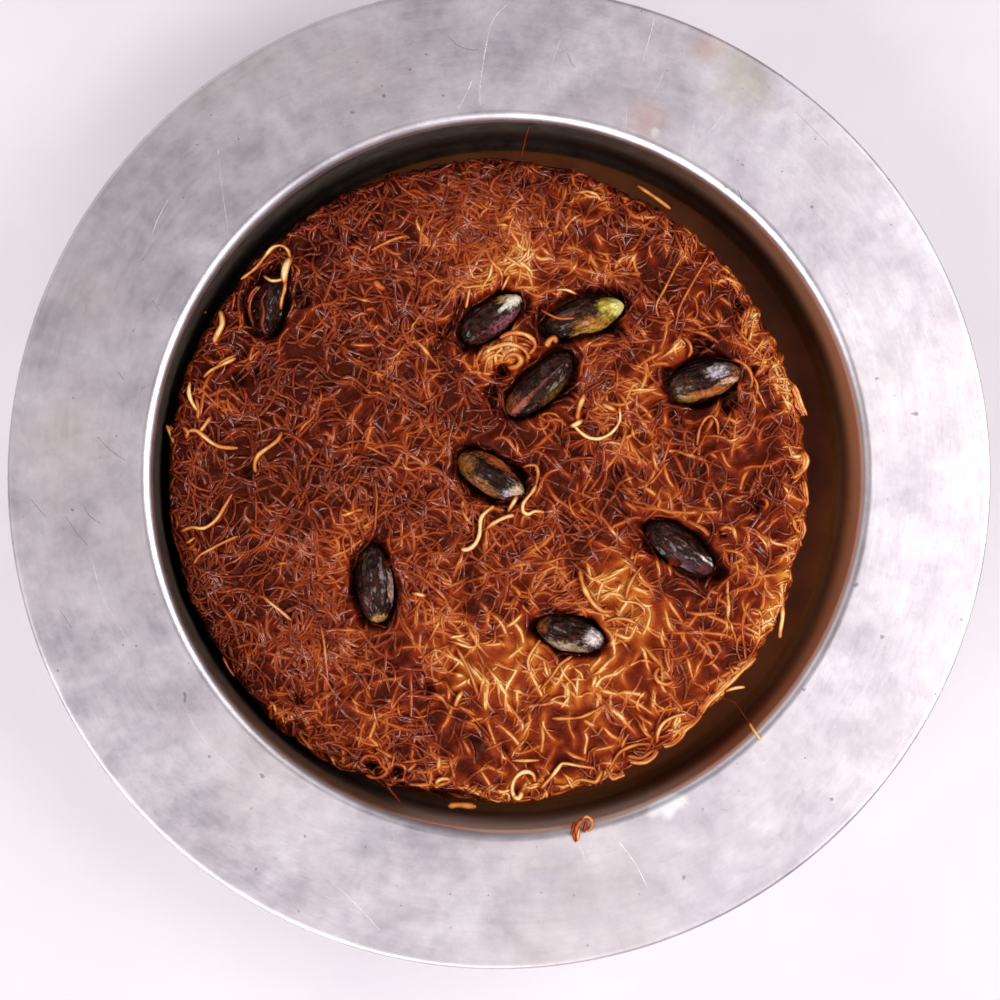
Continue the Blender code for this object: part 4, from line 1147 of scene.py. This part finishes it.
def makeLooseStrands(material):
    lines = []
    flat = cake["radius"] - cake["edge"]
    for thick, lift, tone, *numbers in looseStrands:
        places = smoothLine([cakePlace(*point) for point in pointsOf(numbers)])
        # At the edge of the crust others lie fused inside the one that shows most
        for inner in range(3 if lift <= 0 and 0.75 < tone < 0.9 and thick < 0.7 else 1):
            line = []
            for i, (x, y) in enumerate(places):
                share = i / (len(places) - 1)
                reach = max(math.hypot(x, y), 0.0001)
                level = crustLevel(x * min(1.0, flat / reach), y * min(1.0, flat / reach))
                uneven = noise.noise(Vector((x, y, 0.15 + inner)) * 420)
                drawn = 1 - inner * (0.5 + 0.5 * uneven) * mm / reach
                arch = math.sin(math.pi * share)
                height = level + (lift * (0.45 + 0.55 * arch) - 0.15 * inner + 0.25 * inner * uneven) * mm
                taper = 0.5 if i in (0, len(places) - 1) else 1.0 + 0.35 * uneven
                line.append((
                    inDish(x * drawn, y * drawn, height), thick * taper * mm,
                    tone - 0.14 * (1 - arch) - 0.09 * inner + 0.10 * uneven))
            lines.append(line)
    makeStrands("loose_strands", lines, material, sides=8)


def makeKernels():
    material = kernelMaterial()
    for number, look in enumerate(kernels, start=1):
        shape = bmesh.new()
        tint = shape.verts.layers.float_color.new("tint")
        worn = shape.verts.layers.float.new("worn")
        bmesh.ops.create_uvsphere(
            shape, u_segments=kernelForm["around"], v_segments=kernelForm["along"], radius=1.0)
        bmesh.ops.rotate(shape, verts=shape.verts, matrix=Matrix.Rotation(math.pi / 2, 3, "Y"))
        seed = number * 7.3
        for vertex in shape.verts:
            x, y, z = vertex.co
            ridged = 1 - 2 * abs(noise.noise(Vector((x * 1.2 + seed, y * 3.6, z * 3.6))))
            fine = noise.noise(Vector((x * 4 + seed, y * 9, z * 9)))
            pucker = noise.noise(Vector((x * 14 + seed, y * 9, z * 9)))
            raised = 0.0
            for side, width, amount in look["ridges"]:
                if z > -0.2:
                    raised = max(raised, amount * math.exp(-((y - side) / width) ** 2) * (1 - x ** 4))
            # Each patch is laid over the ones before it; the near-white ones on kernels 5, 6, 8 and 9 are painted
            # highlights
            colour, bare = Vector(srgb(*kernelForm["skin"])), 0.45 * raised
            for along, side, longReach, wideReach, strength, patch in look["patches"]:
                far = math.hypot((x - along) / longReach, (y - side) / wideReach)
                share = 0.0
                if z > kernelForm["underside"]:
                    share = strength * (1 - smoothStep(0.35, 1.45, far + 0.35 * fine))
                colour = colour.lerp(Vector(srgb(*patch)), min(1.0, share * 1.6))
                bare = max(bare, share)
            vertex[tint] = colour
            vertex[worn] = bare
            wrinkle = 1.5 * look["wrinkle"] * (0.8 * ridged - 0.6 + 0.6 * fine) + kernelForm["pucker"] * pucker
            grow = (wrinkle * (1 - 0.4 * min(1.0, bare)) + 0.35 * raised) * mm
            narrow = 1.0 - kernelForm["taper"] * (x + 1) / 2
            narrow *= 1 + 0.12 * noise.noise(Vector((x * 1.3 + seed, y * 1.1, z * 1.1)))
            half = look["wide"] / 2 * mm * narrow
            vertex.co = (
                x * (look["long"] / 2 * mm + grow * 0.4), y * (half + grow),
                z * (half * kernelForm["flat"] + grow))
        px, py = look["at"][0] * mm, look["at"][1] * mm
        level = crustLevel(px - cake["centre"][0], py - cake["centre"][1]) - kernelForm["sink"]
        level -= look["deep"] * mm
        turn = Matrix.Rotation(math.radians(look["heading"]), 4, "Z")
        tilt = Matrix.Rotation(-math.radians(look["tilt"]), 4, "Y")
        bmesh.ops.transform(shape, matrix=Matrix.Translation((px, py, level)) @ turn @ tilt, verts=shape.verts)
        piece = newPiece(f"kernel_{number}", shape, material)
        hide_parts(f"pistachio_{number}")


# Thin syrup on the floor of the well, round the foot of the cake: its cut edge in mm
syrup = {
    "profile": [(66.0, 1.5), (66.0, 1.9), (70.0, 2.0), (75.4, 2.0), (76.4, 2.1), (76.9, 2.5), (75.8, 1.6)],
    "steps": 128}


def makeSyrup():
    shape = bmesh.new()
    line = [shape.verts.new((x * mm, 0.0, z * mm)) for x, z in syrup["profile"]]
    edges = [shape.edges.new(pair) for pair in zip(line, line[1:] + line[:1])]
    turnProfile(shape, line, edges, syrup["steps"])
    bmesh.ops.translate(shape, verts=shape.verts, vec=(*dish["wellCentre"], 0.0))
    newPiece("syrup_film", shape, syrupMaterial())


# Hairs that lean across the gap and crumbs on the lip: thickness in mm and how far baked, then points in photo
# pixels with their height in mm
crumbs = [
    # The first two rows draw one hair, painted dark as shade where it hangs into the well
    (0.15, 0.3, 722, 698, 24.2, 734, 702, 26.0, 742, 713, 28.0, 749, 724, 30.0),
    (0.36, 1.0, 748, 722, 29.8, 752, 729, 31.4, 758, 737, 32.6),
    (0.2, 0.42, 521, 157, 24.6, 524, 146, 27.0, 526, 138, 29.4, 529, 130, 31.4),
    (0.42, 0.74, 581, 816, 33.0, 585, 812, 33.7, 590, 815, 33.6, 591, 822, 33.0, 587, 827, 32.4),
    (0.55, 0.62, 584, 816, 32.9, 579, 818, 33.3, 576, 823, 33.3, 575, 829, 32.8),
    (0.46, 0.36, 574, 818, 32.8, 572, 824, 32.9, 571, 831, 32.4),
    (0.38, 0.86, 578, 823, 32.9, 577, 831, 32.8, 577, 837, 32.4),
    (0.34, 0.5, 574, 826, 32.7, 573, 832, 32.6, 575, 838, 32.3),
    (0.46, 0.44, 585, 818, 32.9, 584, 823, 32.9, 583, 828, 32.4),
    (0.5, 0.06, 738, 750, 28.4, 741, 753, 28.6, 744, 751, 28.5), (0.46, 0.1, 743, 748, 28.6, 744, 752, 28.5),
    (0.24, 0.7, 204, 310, 20.0, 203, 312, 20.0),
]


def makeCrumbs(material):
    lines = []
    for thick, tone, *numbers in crumbs:
        places = smoothLine(pointsOf(numbers, 3))
        line = []
        for i, (across, down, height) in enumerate(places):
            x, y = photoPlace(across, down)
            end = 0.6 if i in (0, len(places) - 1) else 1.0 + 0.15 * math.cos(i * 2.1)
            line.append(((x, y, height * mm), thick * end * mm, tone))
        lines.append(line)
    makeStrands("crumbs", lines, material, sides=8)


rimSurface = makeDish()
makeRimMarks(rimSurface)
print("dish turned")
makeCore()
print("crust formed")
strandFinish = strandMaterial()
for seed, (name, kind) in enumerate(strandKinds.items()):
    draw = random.Random(400 + seed)
    if name == "web_strands":
        strands = [dressLine(draw, kind, line, paler) for line, paler in webLines]
    else:
        lines = [drawLine(draw, kind) for _ in range(kind["count"])]
        strands = [dressLine(draw, kind, line, draw.gauss(*kind["paler"])) for line in lines if line]
    makeStrands(name, strands, strandFinish, kind["sides"])
makeLooseStrands(strandFinish)
makeKernels()
print("kernels set")
makeSyrup()
makeCrumbs(strandFinish)
print("syrup and crumbs laid")


# The table, the light and the camera
def makeTable():
    shape = bmesh.new()
    bmesh.ops.create_grid(shape, x_segments=1, y_segments=1, size=1.5)
    mesh = bpy.data.meshes.new("table")
    shape.to_mesh(mesh)
    shape.free()
    table = bpy.data.objects.new("table", mesh)
    scene.collection.objects.link(table)
    material, tree, shader, place = newMaterial("pale_table", Roughness=0.7)
    clouds = addNoise(tree, place, 9.0, 5.0, 0.6)
    colour = addRamp(tree, clouds, [(0.3, (234, 225, 233)), (0.7, (244, 238, 243))])
    shaded = addMix(tree, 1.0, colour, (188, 188, 188), "MULTIPLY")
    tree.links.new(shaded, shader.inputs["Base Color"])
    tree.links.new(colour, shader.inputs["Emission Color"])
    shader.inputs["Emission Strength"].default_value = 0.48
    mesh.materials.append(material)


def makeLight(name, place, size, watts):
    data = bpy.data.lights.new(name, "AREA")
    data.shape = "RECTANGLE"
    data.size, data.size_y = size
    data.energy = watts
    data.color = (1.0, 0.985, 0.99)
    light = bpy.data.objects.new(name, data)
    scene.collection.objects.link(light)
    light.location = place
    light.rotation_euler = (-Vector(place)).to_track_quat("-Z", "Y").to_euler()


lighting = {
    "zenith": 0.155, "horizon": 0.27,
    "window": {"from": (0.44, -0.02, 0.54), "size": (0.44, 0.44), "watts": 3.7},
    "card": {"from": (-0.36, -0.58, 0.60), "size": (0.60, 0.60), "watts": 6.7},
    "lamp": {"from": (-0.46, 0.40, 0.48), "size": (0.80, 0.50), "watts": 0.9},
}
view = {"from": (0.0002, -0.0050, 0.7322), "lens": 112.7, "sensor": 36.0, "far": 10.0}

makeTable()
world = bpy.data.worlds.new("studio")
scene.world = world
world.use_nodes = True
sky = world.node_tree
upward = addNode(sky, "ShaderNodeSeparateXYZ", {0: sky.nodes.new("ShaderNodeTexCoord").outputs["Generated"]})
strength = addRange(sky, upward.outputs[2], 0.0, 0.9, lighting["horizon"], lighting["zenith"])
sky.links.new(strength, sky.nodes["Background"].inputs["Strength"])
sky.nodes["Background"].inputs["Color"].default_value = (1.0, 0.955, 0.985, 1.0)
for name in ("window", "card", "lamp"):
    makeLight(name, lighting[name]["from"], lighting[name]["size"], lighting[name]["watts"])
scene.view_settings.view_transform = "Standard"

camera = bpy.data.objects.new("camera", bpy.data.cameras.new("camera"))
camera.location = view["from"]
camera.data.lens = view["lens"]
camera.data.sensor_width = view["sensor"]
camera.data.clip_end = view["far"]
scene.collection.objects.link(camera)
scene.camera = camera
